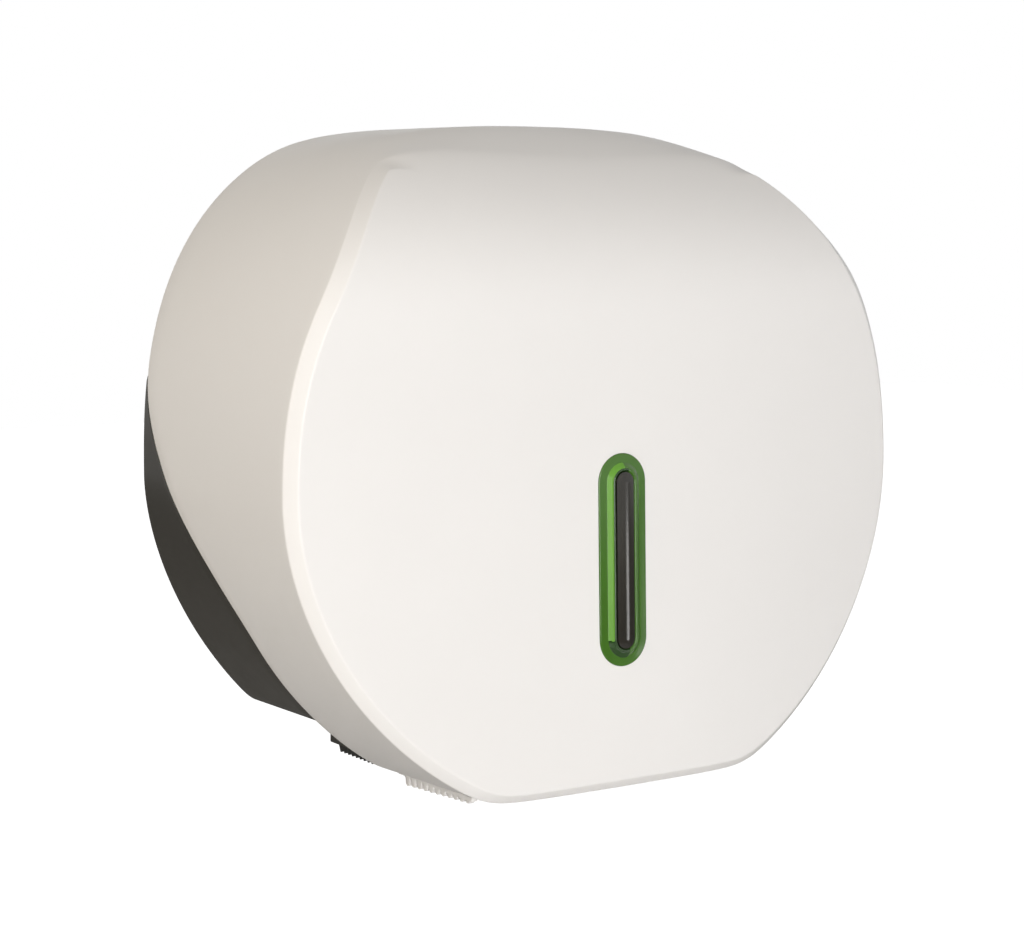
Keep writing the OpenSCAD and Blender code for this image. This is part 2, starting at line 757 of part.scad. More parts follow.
module tear_comb_rear_left() {
    color(black) rear_comb();
}

module tear_comb_rear_right() {
    color(black) mirror([1, 0, 0]) rear_comb();
}

// --- Hinge pins ---

module hinge_pin() {
    color(steel) translate([0, hinge_y, hinge_z]) {
        rod_x(pin_r, arm_inner_x - 1, cheek_x + 0.5);
        rod_x(pin_head_r, arm_inner_x - pin_head_length, arm_inner_x);
    }
}

module hinge_pin_right() {
    hinge_pin();
}

module hinge_pin_left() {
    mirror([1, 0, 0]) hinge_pin();
}

// --- Window ---

window_tilt = atan(front_y(window_x, window_z + 0.5, 0) - front_y(window_x, window_z - 0.5, 0));
window_y = front_y(window_x, window_z, 0);
bezel_r = bezel_width / 2;
slope_root_r = bezel_r - ring_width;
rim_r = slope_root_r - slope_width;
lens_r = rim_r - lens_rim_width;
insert_r = slope_root_r + 1.6;
rim_top_y = -ring_height - slope_height;
insert_fit = 0.2;
// Depth of the ring's seat behind the window's plane, and the gap around and behind the ring
ring_seat_y = 0.25;
ring_fit = 0.05;
insert_back_y = cover_wall + 3;
lens_fit = 0.05;

module at_window() {
    translate([window_x, window_y, window_z]) rotate([-window_tilt, 0, 0]) children();
}

// A round-ended slab along Z, of a length that leaves the same straight part for any radius
module slot_slab(radius, low, high) {
    straight = bezel_length - bezel_width;
    translate([0, high, 0]) rotate([90, 0, 0]) linear_extrude(height = high - low) {
        square([2 * radius, straight], center = true);
        for (end = [-1, 1]) translate([0, end * straight / 2]) circle(r = radius);
    }
}

// The same slab with sloping sides, from one radius at the front to another at the back
module slot_cone(front_r, back_r, low, high) {
    straight = bezel_length - bezel_width;
    for (end = [-1, 1]) translate([0, high, end * straight / 2]) rotate([90, 0, 0])
        cylinder(r1 = back_r, r2 = front_r, h = high - low);
    translate([0, 0, -straight / 2]) linear_extrude(height = straight)
        polygon([[-front_r, low], [front_r, low], [back_r, high], [-back_r, high]]);
}

module window_bezel() {
    color(green) at_window() difference() {
        union() {
            slot_slab(bezel_r, -ring_height, ring_seat_y - ring_fit);
            slot_slab(insert_r, -ring_height + 0.1, insert_back_y);
            slot_cone(rim_r, slope_root_r, rim_top_y, -ring_height + 0.1);
        }
        slot_slab(lens_r, rim_top_y - cut, insert_back_y + cut);
    }
}

module window_lens() {
    crest_y = rim_top_y - lens_crown;
    color(smoke) at_window() intersection() {
        slot_slab(lens_r - lens_fit, crest_y - cut, crest_y + lens_thickness);
        translate([0, crest_y + lens_radius, 0]) rod_z(lens_radius, -bezel_length / 2, bezel_length / 2);
    }
}

// --- Lock ---

lock_y = -lock_depth;
sleeve_flange_height = 1.8;
// Depth of the sleeve's flange below the top, and the height of its seat
lock_recess = 0.5;
lock_seat_z = top_z - lock_recess - sleeve_flange_height;
lock_boss_low_z = lock_seat_z - 5;
nut_height = 4;
nut_across_r = 12;
sleeve_low_z = lock_boss_low_z - nut_height - 3.5;
barrel_low_z = sleeve_low_z - 2;
barrel_top_z = lock_seat_z + sleeve_flange_height + 0.3;
cam_low_z = barrel_low_z - catch_thickness;
cam_screw_r = 2.4;
cam_screw_head_r = 4.4;
cam_screw_head_height = 2.8;
cam_screw_low_z = cam_low_z - cam_screw_head_height;
cam_recess_reach = 2.6;
cam_recess_depth = 1.4;
barrel_r = barrel_diameter / 2;
sleeve_r = sleeve_diameter / 2;
sleeve_flange_r = sleeve_flange_diameter / 2;

module at_lock() {
    translate([0, lock_y, 0]) children();
}

module lock_sleeve() {
    color(steel) at_lock() difference() {
        union() {
            rod_z(sleeve_flange_r, lock_seat_z, lock_seat_z + sleeve_flange_height);
            rod_z(sleeve_r, sleeve_low_z, lock_seat_z + 1);
        }
        rod_z(barrel_r + barrel_clearance, sleeve_low_z - cut, barrel_top_z + cut);
    }
}

module lock_nut() {
    color(steel) at_lock() difference() {
        translate([0, 0, lock_boss_low_z - nut_height]) cylinder(r = nut_across_r, h = nut_height, $fn = 6);
        rod_z(sleeve_r + 0.05, lock_boss_low_z - nut_height - cut, lock_boss_low_z + cut);
    }
}

// The barrel has a narrow keyway and a threaded hole for the cam's screw
module lock_barrel() {
    color(steel) at_lock() difference() {
        rod_z(barrel_r, barrel_low_z, barrel_top_z);
        block([-0.8, -3.2, barrel_top_z - 9], [0.8, 3.2, barrel_top_z + cut]);
        rod_z(cam_screw_r + 0.05, barrel_low_z - cut, barrel_low_z + 8);
    }
}

// The cam points at the wall when the lock is open
module lock_cam() {
    color(steel) at_lock() difference() {
        union() {
            rod_z(barrel_r, cam_low_z, barrel_low_z);
            block([-cam_width / 2, 0, cam_low_z], [cam_width / 2, cam_length - cam_width / 2, barrel_low_z]);
            translate([0, cam_length - cam_width / 2, 0]) rod_z(cam_width / 2, cam_low_z, barrel_low_z);
        }
        rod_z(cam_screw_r + 0.05, cam_low_z - cut, barrel_low_z + cut);
    }
}

module cam_screw() {
    color(steel) at_lock() difference() {
        union() {
            rod_z(cam_screw_r, cam_low_z - 1, barrel_low_z + 6.5);
            rod_z(cam_screw_head_r, cam_screw_low_z, cam_low_z);
        }
        for (turn = [0, 90]) rotate([0, 0, turn])
            block([-cam_recess_reach, -recess_half_width, cam_screw_low_z - cut],
                  [cam_recess_reach, recess_half_width, cam_screw_low_z + cam_recess_depth]);
    }
}

// The striker reaches under the cam and stands up in front of it
striker_inner_x = barrel_r + 4.5;
striker_outer_x = cam_length + 1;
striker_arm_z = cam_low_z - 3;
striker_lip_y = lock_y - cam_width / 2 - 1.5;
striker_foot_drop = 26;
striker_x = (striker_inner_x + striker_outer_x) / 2;

module striker_screw_places() {
    for (drop = [9, 20]) translate([striker_x, 0, striker_arm_z - drop]) children();
}

module lock_striker() {
    color(steel) difference() {
        union() {
            block([striker_inner_x, -plate_thickness - catch_thickness, striker_arm_z - striker_foot_drop],
                  [striker_outer_x, -plate_thickness, striker_arm_z]);
            block([striker_inner_x, striker_lip_y - catch_thickness, striker_arm_z - catch_thickness],
                  [striker_outer_x, -plate_thickness, striker_arm_z]);
            block([striker_inner_x, striker_lip_y - catch_thickness, striker_arm_z - catch_thickness],
                  [striker_outer_x, striker_lip_y, barrel_low_z + 2]);
        }
        striker_screw_places()
            rod_y(striker_screw_r + screw_fit, -plate_thickness - catch_thickness - cut, 0);
    }
}

module striker_screws() {
    color(steel) striker_screw_places() difference() {
        union() {
            rod_y(striker_screw_r, -plate_thickness - catch_thickness - 1, striker_screw_tip_y);
            rod_y(striker_screw_head_r, -plate_thickness - catch_thickness - striker_screw_head_height,
                  -plate_thickness - catch_thickness);
        }
        cross_recess(-plate_thickness - catch_thickness - striker_screw_head_height, 2, 1.2);
    }
}

// --- Cover ---

// The plate beside the slot that carries the hinge knuckle and the front comb
module front_cheek() {
    difference() {
        union() {
            block([slot_x, slot_front_y - 5, cover_bottom_z + 1], [cheek_x, front_comb_rear_y, hinge_z]);
            block([slot_x, hinge_y - 8, hinge_z - knuckle_r], [cheek_x, hinge_y, hinge_z + knuckle_r]);
        }
        translate([0, hinge_y + 3, hinge_z - knuckle_r]) rod_x(3.5, slot_x - cut, cheek_x + cut);
    }
    translate([0, hinge_y, hinge_z]) rod_x(knuckle_r, knuckle_inner_x, cheek_x);
}

module front_cover() {
    color(white) difference() {
        union() {
            cover_skin();
            both_sides() front_cheek();
            at_lock() rod_z(sleeve_flange_r + 2.5, lock_boss_low_z, lock_seat_z + 0.5);
        }
        block([-slot_x, slot_front_y, cover_bottom_z - 10], [slot_x, 0, hinge_z - knuckle_r - 0.01]);
        at_window() slot_slab(insert_r + insert_fit, -6, 8);
        at_window() slot_slab(bezel_r + ring_fit, -6, ring_seat_y);
        at_lock() rod_z(sleeve_r + 0.1, lock_boss_low_z - cut, lock_seat_z + 5);
        at_lock() rod_z(sleeve_flange_r + 0.3, lock_seat_z, lock_seat_z + 8);
        both_sides() translate([0, hinge_y, hinge_z])
            rod_x(pin_r + hinge_clearance, knuckle_inner_x - cut, cheek_x + cut);
    }
}

rear_housing();
axle_post();
axle_foot_screws();
thrust_washer_rear();
thrust_washer_front();
axle_cap();
axle_cap_screw();
tear_comb_rear_left();
tear_comb_rear_right();
hinge_pin_left();
hinge_pin_right();
lock_striker();
striker_screws();
front_cover();
window_bezel();
window_lens();
tear_comb_front_left();
tear_comb_front_right();
lock_sleeve();
lock_nut();
core_hub();
lock_barrel();
lock_cam();
cam_screw();
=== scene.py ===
# %% [markdown]
# # A wall dispenser for large toilet rolls
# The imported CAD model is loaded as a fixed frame. Its nodes move with their bodies, and this
# script dresses them: the large mouldings are made again with far finer surfaces, the small metal
# parts keep their CAD shape and get a material.

# %% Load the frame
import json
import math

import bmesh
import bpy
import numpy as np
from mathutils import Matrix, Vector

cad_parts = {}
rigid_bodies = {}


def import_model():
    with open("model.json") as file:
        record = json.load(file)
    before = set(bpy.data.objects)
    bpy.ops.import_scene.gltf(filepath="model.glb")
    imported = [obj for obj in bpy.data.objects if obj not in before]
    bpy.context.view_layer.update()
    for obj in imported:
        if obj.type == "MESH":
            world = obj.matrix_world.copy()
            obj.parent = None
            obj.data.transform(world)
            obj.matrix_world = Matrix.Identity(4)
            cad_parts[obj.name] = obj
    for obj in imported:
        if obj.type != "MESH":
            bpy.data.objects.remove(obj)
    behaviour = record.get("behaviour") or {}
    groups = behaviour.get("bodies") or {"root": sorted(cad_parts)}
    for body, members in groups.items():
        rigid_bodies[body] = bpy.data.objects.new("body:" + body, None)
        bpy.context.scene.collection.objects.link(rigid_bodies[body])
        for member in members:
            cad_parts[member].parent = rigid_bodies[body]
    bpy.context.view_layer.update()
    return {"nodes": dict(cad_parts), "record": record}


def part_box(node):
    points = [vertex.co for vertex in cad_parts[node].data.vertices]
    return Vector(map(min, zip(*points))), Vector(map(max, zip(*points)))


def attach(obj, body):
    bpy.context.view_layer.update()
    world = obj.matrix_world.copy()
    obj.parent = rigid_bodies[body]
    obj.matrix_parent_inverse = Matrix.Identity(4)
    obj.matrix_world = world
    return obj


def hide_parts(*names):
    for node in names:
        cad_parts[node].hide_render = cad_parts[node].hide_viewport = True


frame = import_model()
MM = 0.001

# %% [markdown]
# ## Sizes
# The frame gives each node's box, but not the formulas behind a curved wall. The body's outlines
# are superellipses, so a few named sizes in millimetres describe them: half widths, rises and
# drops. Powers set how square a curve is.

# %% Sizes of the body
FRONT_HALF_WIDTH, WALL_HALF_WIDTH = 160.4, 164.7
FRONT_RISE, WALL_RISE = 155.5, 160.1
FRONT_DROP, WALL_DROP = 150.2, 160.5
FRONT_POWERS, WALL_POWERS = (2.19, 1.89), (2.62, 1.75)
SIDE_LAG, LAG_FULL_SINE = 1.92, 0.6
WIDEST_Z = -6.5
BODY_DEPTH = 125.0
COVER_BOTTOM_Z, HOUSING_BOTTOM_Z = -140.0, -115.0
CORNER_POWER = 60
TOP_Z, TOP_FALL, TOP_FALL_POWER = 147.0, 9.4, 2.69
TOP_SLOPE_START, TOP_SLOPE_POWER = 63.2, 1.3
CREASE_DEPTH, CREASE_Z, CREASE_RISE = 94.3, 132.3, 0.6
CROWN_POWERS = (99, 54)
FRONT_BULGE, FRONT_LEAN = 8.2, 1.9
LOW_BULGE_Z, LOW_BULGE = 40.0, 0.8
FRONT_CURVE_Z, FRONT_CURVE_DEPTH, FRONT_CURVE_POWER = 66.2, 36.2, 2.19
BEVEL_WIDTH, TOP_BEVEL_WIDTH, TOP_BEVEL_DROP = 4.4, 8.3, 1.5
BEVEL_TURN = (0.52, 0.86)
COVER_WALL, HOUSING_WALL, PLATE = 2.5, 2.5, 3.0
WALL_GAP, RIM_GAP = 0.8, 0.8
RIM_DEPTH, RIM_TOP_Z, RIM_LOW_Z = 60.0, 46.0, -78.0
RIM_POWER = 1.15
HINGE_Y, HINGE_Z = -63.0, -123.0
KNUCKLE_R, PIN_R = 6.0, 2.5
SLOT_X, SLOT_FRONT_Y = 70.0, -119.0
PLATE_X = 73.0
ARM_IN_X, ARM_OUT_X = 60.0, 65.0

# %% [markdown]
# ## Formulas of the body
# A superellipse is a circle whose exponent isn't 2, which gives this body its soft square corners.
# Each function takes whole arrays of angles, so a surface with thousands of points needs no loop.

# %% Outline formulas


def oval(c, s, half_width, height, power):
    """Distance from the centre to a superellipse: (|c/a|^p + |s/h|^p)^(-1/p)."""
    return ((c / half_width) ** power + (s / height) ** power) ** (-1 / power)


def outline(angle, half_width, rise, drop, powers, bottom):
    """An upper and a lower superellipse that meet at the widest level, cut by a flat bottom.
    The corner at the bottom is rounded by a power mean of the two distances."""
    c = np.maximum(np.abs(np.cos(angle)), 1e-5)
    s = np.sin(angle)
    up = oval(c, np.maximum(s, 1e-5), half_width, rise, powers[0])
    low = oval(c, np.maximum(-s, 1e-5), half_width, drop, powers[1])
    flat = (WIDEST_Z - bottom) / np.maximum(-s, 0.01)
    low = (low ** -CORNER_POWER + flat ** -CORNER_POWER) ** (-1 / CORNER_POWER)
    return np.where(s >= 0, up, low)


def ease(t):
    """A smooth step from 0 to 1."""
    u = np.clip(t, 0, 1)
    return u * u * (3 - 2 * u)


def top_height(x, y):
    """Height of the top: it falls to the sides by a power of x, and to the front by a power of
    depth."""
    side = (np.minimum(np.abs(x), 125) / 100) ** TOP_FALL_POWER
    high = TOP_Z - TOP_FALL * side
    low = CREASE_Z + CREASE_RISE * side
    t = np.maximum((-TOP_SLOPE_START - y) / (CREASE_DEPTH - TOP_SLOPE_START), 0)
    return high - (high - low) * t ** TOP_SLOPE_POWER


def side_r(angle, y, inset=0.0, bottom=COVER_BOTTOM_Z):
    """Distance to the side wall at depth y: it goes from the wall outline to the front outline,
    later on the upper sides, and is joined to the top by a power mean of the two distances."""
    t = np.maximum(-y / BODY_DEPTH, 0)
    s = np.sin(angle)
    wall = outline(angle, WALL_HALF_WIDTH - inset, WALL_RISE - inset, WALL_DROP - inset,
                   WALL_POWERS, bottom + inset)
    front = outline(angle, FRONT_HALF_WIDTH - inset, FRONT_RISE - inset, FRONT_DROP - inset,
                    FRONT_POWERS, bottom + inset)
    lag = 1 + (SIDE_LAG - 1) * ease(s / LAG_FULL_SINE)
    round_r = wall + (front - wall) * t ** lag
    top = np.full_like(round_r, TOP_Z)
    for _ in range(8):
        top = (top_height(top * np.cos(angle), y) - inset - WIDEST_Z) / np.maximum(s, 0.35)
    power = CROWN_POWERS[0] + (CROWN_POWERS[1] - CROWN_POWERS[0]) * t
    joined = round_r * (1 + (round_r / np.maximum(top, 60)) ** power) ** (-1 / power)
    return np.where(s > 0, joined, round_r)


def front_y(x, z, inset=0.0):
    """Depth of the front: a parabola across for the bulge, which grows downwards by a square, a
    straight lean, and a power of height that curves the front back to the top's front edge."""
    u = np.maximum((z - FRONT_CURVE_Z) / (CREASE_Z - FRONT_CURVE_Z), 0)
    bulge = FRONT_BULGE + LOW_BULGE * (np.maximum(LOW_BULGE_Z - z, 0) / 100) ** 2
    return (-BODY_DEPTH - bulge * (1 - (x / FRONT_HALF_WIDTH) ** 2) + FRONT_LEAN * z / 100
            + FRONT_CURVE_DEPTH * u ** FRONT_CURVE_POWER + inset)


def rim_y(z):
    """Depth of the cover's swept rear edge: at the wall above, far in front of it below."""
    fall = ease((RIM_TOP_Z - z) / (RIM_TOP_Z - RIM_LOW_Z)) ** RIM_POWER
    return -WALL_GAP - (RIM_DEPTH - WALL_GAP) * fall


def place(angle, r, y):
    """Points from an angle round the widest level's centre, a distance and a depth."""
    return np.stack([r * np.cos(angle), y + 0 * r, WIDEST_Z + r * np.sin(angle)], axis=-1)


def front_edge_r(angle, inset=0.0):
    """Distance at which the side meets the front, by halving an interval thirty times."""
    low = np.full_like(angle, 60.0)
    high = np.full_like(angle, 230.0)
    for _ in range(30):
        mid = (low + high) / 2
        y = np.minimum(front_y(mid * np.cos(angle), WIDEST_Z + mid * np.sin(angle), inset), 0)
        inside = side_r(angle, y, inset) > mid
        low, high = np.where(inside, mid, low), np.where(inside, high, mid)
    return (low + high) / 2


# %% [markdown]
# ## Mesh helpers
# A grid of points becomes a mesh of four-sided faces. The index arithmetic is done on whole arrays:
# each face joins a point, its neighbour, and the two below them.

# %% Mesh helpers


def new_object(name, points, faces):
    """Makes a mesh object from points in millimetres and a list of faces."""
    mesh = bpy.data.meshes.new(name)
    places = (np.asarray(points, float) * MM).tolist()
    mesh.from_pydata(places, [], [list(map(int, f)) for f in faces])
    mesh.update()
    obj = bpy.data.objects.new(name, mesh)
    bpy.context.scene.collection.objects.link(obj)
    return obj


def grid_faces(rows, columns, wrap):
    """Faces of a grid of rows and columns; wrap joins the last column to the first."""
    steps = columns if wrap else columns - 1
    j, i = np.meshgrid(np.arange(rows - 1), np.arange(steps), indexing="ij")
    k = (i + 1) % columns
    this_row, next_row = j * columns, (j + 1) * columns
    return np.stack([this_row + i, this_row + k, next_row + k, next_row + i], -1).reshape(-1, 4)


def closed_grid(name, grid, tips=None):
    """A tube from a grid of rows that each run right round; tips close its two ends with fans."""
    rows, columns = grid.shape[:2]
    points = grid.reshape(-1, 3)
    faces = grid_faces(rows, columns, True).tolist()
    if tips is not None:
        points = np.vstack([points, tips])
        i = np.arange(columns)
        k = (i + 1) % columns
        start, end = rows * columns, rows * columns + 1
        last = (rows - 1) * columns
        faces += np.stack([np.full(columns, start), k, i], -1).tolist()
        faces += np.stack([np.full(columns, end), last + i, last + k], -1).tolist()
    return new_object(name, points, faces)


def ring_grid(name, grid):
    """A closed ring: the grid wraps in both directions, as a torus does."""
    rows, columns = grid.shape[:2]
    grid = np.concatenate([grid, grid[:1]], axis=0)
    faces = grid_faces(rows + 1, columns, True) % (rows * columns)
    return new_object(name, grid[:rows].reshape(-1, 3), faces.tolist())


def apply_modifiers(obj):
    """Replaces an object's mesh by the one its modifiers give."""
    graph = bpy.context.evaluated_depsgraph_get()
    mesh = bpy.data.meshes.new_from_object(obj.evaluated_get(graph))
    obj.modifiers.clear()
    obj.data = mesh
    return obj


def cut_away(obj, cutters, operation="DIFFERENCE"):
    """Cuts or joins closed meshes exactly, and removes them."""
    for cutter in cutters:
        step = obj.modifiers.new("cut", "BOOLEAN")
        step.operation = operation
        step.solver = "EXACT"
        step.object = cutter
    apply_modifiers(obj)
    for cutter in cutters:
        bpy.data.objects.remove(cutter)
    return obj


def point_outwards(obj):
    """Recalculates the normals of a closed mesh, so that every face points out."""
    work = bmesh.new()
    work.from_mesh(obj.data)
    bmesh.ops.recalc_face_normals(work, faces=work.faces)
    work.to_mesh(obj.data)
    work.free()
    return obj


def smooth(obj, angle=32):
    """Smooth shading with crisp edges where two faces meet at more than an angle in degrees."""
    obj.data.polygons.foreach_set("use_smooth", np.ones(len(obj.data.polygons), bool))
    obj.data.set_sharp_from_angle(angle=math.radians(angle))
    return obj


def soften(obj, width, segments=3, angle=40):
    """Rounds a mesh's sharp edges by a bevel of a width in millimetres."""
    step = obj.modifiers.new("soften", "BEVEL")
    step.width = width * MM
    step.segments = segments
    step.limit_method = "ANGLE"
    step.angle_limit = math.radians(angle)
    step.use_clamp_overlap = True
    return apply_modifiers(obj)


def rounded_turn(before, corner, after, reach, steps):
    """Rows of points that replace a corner by a curve: the corner plus a step back along each leg,
    weighted by (1-t)^2 and t^2."""
    leg_in = before - corner
    leg_in = leg_in / np.maximum(np.linalg.norm(leg_in, axis=-1, keepdims=True), 1e-9)
    leg_out = after - corner
    leg_out = leg_out / np.maximum(np.linalg.norm(leg_out, axis=-1, keepdims=True), 1e-9)
    return [corner + reach * (leg_in * (1 - t) ** 2 + leg_out * t ** 2)
            for t in np.linspace(0, 1, steps)]


# %% [markdown]
# ## Simple solids
# Pins, bosses and plates are a profile turned round an axis, or an outline given a thickness.
# These functions leave edges sharp; some pieces are rounded later by a small bevel, because a
# moulded or turned edge is never razor sharp.
# The profile of a full rod starts a thousandth of a millimetre from its axis, not on it, so a
# needle of that radius stays open along the axis.

# %% Turned and flat solids
AXIS_R = 0.001


def turned(name, profile, axis, centre, steps=96):
    """Turns a closed profile of (radius, height) pairs round an axis through centre."""
    profile = np.asarray(profile, float)
    angle = np.linspace(0, 2 * np.pi, steps, endpoint=False)
    r = profile[:, 0][None, :]
    h = profile[:, 1][None, :] + 0 * angle[:, None]
    a, b = r * np.cos(angle)[:, None], r * np.sin(angle)[:, None]
    grid = {"x": np.stack([h, a, b], -1), "y": np.stack([b, h, a], -1),
            "z": np.stack([a, b, h], -1)}[axis]
    obj = ring_grid(name, grid + np.asarray(centre, float))
    return point_outwards(weld(obj))


def rod(name, radius, low, high, axis, centre, steps=96):
    """A full rod: a rectangle turned round its axis."""
    return turned(name, [(AXIS_R, low), (radius, low), (radius, high), (AXIS_R, high)],
                  axis, centre, steps)


def weld(obj, distance=1e-6):
    """Merges points that coincide, and drops the faces that this closes up."""
    work = bmesh.new()
    work.from_mesh(obj.data)
    bmesh.ops.remove_doubles(work, verts=work.verts, dist=distance)
    bmesh.ops.dissolve_degenerate(work, edges=work.edges, dist=distance)
    work.to_mesh(obj.data)
    work.free()
    return obj


def prism(name, outline_points, low, high, axis):
    """Gives a closed outline of (a, b) pairs a thickness from low to high along an axis.
    The pairs are (y, z) for x, (x, z) for y and (x, y) for z."""
    flat = np.asarray(outline_points, float)
    count = len(flat)
    levels = []
    for h in (low, high):
        a, b = flat[:, 0], flat[:, 1]
        level = np.full(count, float(h))
        levels.append({"x": np.stack([level, a, b], -1), "y": np.stack([a, level, b], -1),
                       "z": np.stack([a, b, level], -1)}[axis])
    i = np.arange(count)
    k = (i + 1) % count
    sides = np.stack([i, k, k + count, i + count], -1).tolist()
    faces = sides + [list(range(count))[::-1], list(range(count, 2 * count))]
    return point_outwards(new_object(name, np.vstack(levels), faces))


def box(name, low, high):
    """A box between two corners."""
    corners = [(low[0], low[2]), (high[0], low[2]), (high[0], high[2]), (low[0], high[2])]
    return prism(name, corners, low[1], high[1], "y")


def stadium(radius, straight, steps=48):
    """A round-ended outline: two half circles joined by straight lines, as (x, z) pairs."""
    top = np.linspace(0, np.pi, steps)
    low = np.linspace(np.pi, 2 * np.pi, steps)
    return np.vstack([np.stack([radius * np.cos(top), straight / 2 + radius * np.sin(top)], -1),
                      np.stack([radius * np.cos(low), -straight / 2 + radius * np.sin(low)], -1)])


# %% [markdown]
# ## Camera
# The camera was worked out from the body's outlines in the photograph: it stands to the left of the
# front, a little above the middle, and looks slightly down. A long lens keeps the perspective weak.

# %% Camera
FOCAL_PIXELS = 2325.4
IMAGE_WIDTH = 1024
SENSOR = 36.0
YAW, PITCH, ROLL = 0.591, -0.1101, 0.0053
CAMERA_PLACE = Vector((-594.7, -930.9, 111.1)) * MM

ahead = Vector((math.sin(YAW) * math.cos(PITCH), math.cos(YAW) * math.cos(PITCH), math.sin(PITCH)))
right = Vector((math.cos(YAW), -math.sin(YAW), 0))
up = right.cross(ahead)
level_right = right * math.cos(ROLL) + up * math.sin(ROLL)
level_up = up * math.cos(ROLL) - right * math.sin(ROLL)
camera_data = bpy.data.cameras.new("camera")
camera_data.sensor_width = SENSOR
camera_data.sensor_fit = "HORIZONTAL"
camera_data.lens = FOCAL_PIXELS * SENSOR / IMAGE_WIDTH
camera_data.clip_start, camera_data.clip_end = 0.01, 50
camera = bpy.data.objects.new("camera", camera_data)
bpy.context.scene.collection.objects.link(camera)
turn = Matrix((level_right, level_up, -ahead)).transposed().to_4x4()
camera.matrix_world = Matrix.Translation(CAMERA_PLACE) @ turn
bpy.context.scene.camera = camera
print("lens in millimetres:", round(camera_data.lens, 2))

# %% [markdown]
# ## Materials
# Each plastic gets a base colour with a faint drift, a fine moulded grain in its bump and a
# roughness that varies a little. What is the same all over is set on the shader's own socket.

# %% Material helpers


def material(name, colour, roughness, metallic=0.0, specular=0.5, coat=0.0, coat_roughness=0.05):
    """A principled material with plain values; returns the material and its shader."""
    made = bpy.data.materials.new(name)
    made.use_nodes = True
    shader = made.node_tree.nodes["Principled BSDF"]
    shader.inputs["Base Color"].default_value = (*colour, 1)
    shader.inputs["Roughness"].default_value = roughness
    shader.inputs["Metallic"].default_value = metallic
    shader.inputs["Specular IOR Level"].default_value = specular
    shader.inputs["Coat Weight"].default_value = coat
    shader.inputs["Coat Roughness"].default_value = coat_roughness
    return made, shader


def noise(made, scale, detail=3.0, stretch=(1, 1, 1)):
    """A noise texture on the object's own coordinates, stretched by a mapping."""
    nodes, links = made.node_tree.nodes, made.node_tree.links
    where = nodes.new("ShaderNodeTexCoord")
    mapping = nodes.new("ShaderNodeMapping")
    mapping.inputs["Scale"].default_value = stretch
    texture = nodes.new("ShaderNodeTexNoise")
    texture.inputs["Scale"].default_value = scale
    texture.inputs["Detail"].default_value = detail
    links.new(where.outputs["Object"], mapping.inputs["Vector"])
    links.new(mapping.outputs["Vector"], texture.inputs["Vector"])
    return texture.outputs["Fac"]


def drift(made, socket, source, low, high):
    """Blends a socket between two values by a noise: two colours, or two numbers."""
    nodes, links = made.node_tree.nodes, made.node_tree.links
    ramp = nodes.new("ShaderNodeMapRange")
    ramp.inputs["From Min"].default_value = 0.35
    ramp.inputs["From Max"].default_value = 0.65
    links.new(source, ramp.inputs["Value"])
    if isinstance(low, tuple):
        blend = nodes.new("ShaderNodeMix")
        blend.data_type = "RGBA"
        blend.inputs["A"].default_value = (*low, 1)
        blend.inputs["B"].default_value = (*high, 1)
        links.new(ramp.outputs["Result"], blend.inputs["Factor"])
        links.new(blend.outputs["Result"], socket)
    else:
        ramp.inputs["To Min"].default_value = low
        ramp.inputs["To Max"].default_value = high
        links.new(ramp.outputs["Result"], socket)


def grain(made, shader, source, strength, distance):
    """Raises the surface by a noise, as fine moulded or cast texture."""
    nodes, links = made.node_tree.nodes, made.node_tree.links
    bump = nodes.new("ShaderNodeBump")
    bump.inputs["Strength"].default_value = strength
    bump.inputs["Distance"].default_value = distance
    links.new(source, bump.inputs["Height"])
    links.new(bump.outputs["Normal"], shader.inputs["Normal"])


def scaled(colour, factor):
    """A colour made lighter or darker by a factor."""
    return tuple(min(1.0, c * factor) for c in colour)


def plastic(name, colour, roughness, spread, grain_scale, grain_depth, specular=0.5, coat=0.0):
    """A moulded plastic: slow colour drift, slight roughness drift and a fine grain."""
    made, shader = material(name, colour, roughness, specular=specular, coat=coat)
    drift(made, shader.inputs["Base Color"], noise(made, 9, 4), scaled(colour, 1 - spread),
          scaled(colour, 1 + spread))
    drift(made, shader.inputs["Roughness"], noise(made, 40, 3), roughness * 0.93, roughness * 1.07)
    grain(made, shader, noise(made, grain_scale, 2), 0.25, grain_depth)
    return made


def metal(name, colour, roughness, stretch, strength):
    """A worked metal: fine lines along one direction, from a noise stretched the other way."""
    made, shader = material(name, colour, roughness, metallic=1.0)
    lines = noise(made, 160, 4, stretch)
    drift(made, shader.inputs["Base Color"], lines, scaled(colour, 0.93), scaled(colour, 1.04))
    drift(made, shader.inputs["Roughness"], noise(made, 220, 3, stretch), roughness * 0.8,
          roughness * 1.25)
    grain(made, shader, lines, strength, 0.00002)
    return made


# %% [markdown]
# ## The finishes
# White plastic for the cover, a dark grey for the housing, black for the pointed combs, a clear
# green for the window's ring, a smoked lens, and plated metal for the screws, pins and lock.

# %% Finishes
WHITE = plastic("cover_white", (0.87, 0.855, 0.84), 0.38, 0.006, 900, 0.00002, specular=0.3)
DARK = plastic("housing_grey", (0.03, 0.0275, 0.022), 0.42, 0.05, 700, 0.00003)
BLACK = plastic("comb_black", (0.012, 0.012, 0.011), 0.4, 0.06, 800, 0.00002)
GREY = plastic("hub_grey", (0.26, 0.26, 0.26), 0.45, 0.03, 700, 0.00003)
STEEL = metal("steel", (0.62, 0.63, 0.64), 0.32, (1, 1, 8), 0.2)
CHROME = metal("lock_chrome", (0.72, 0.72, 0.72), 0.14, (6, 6, 1), 0.08)


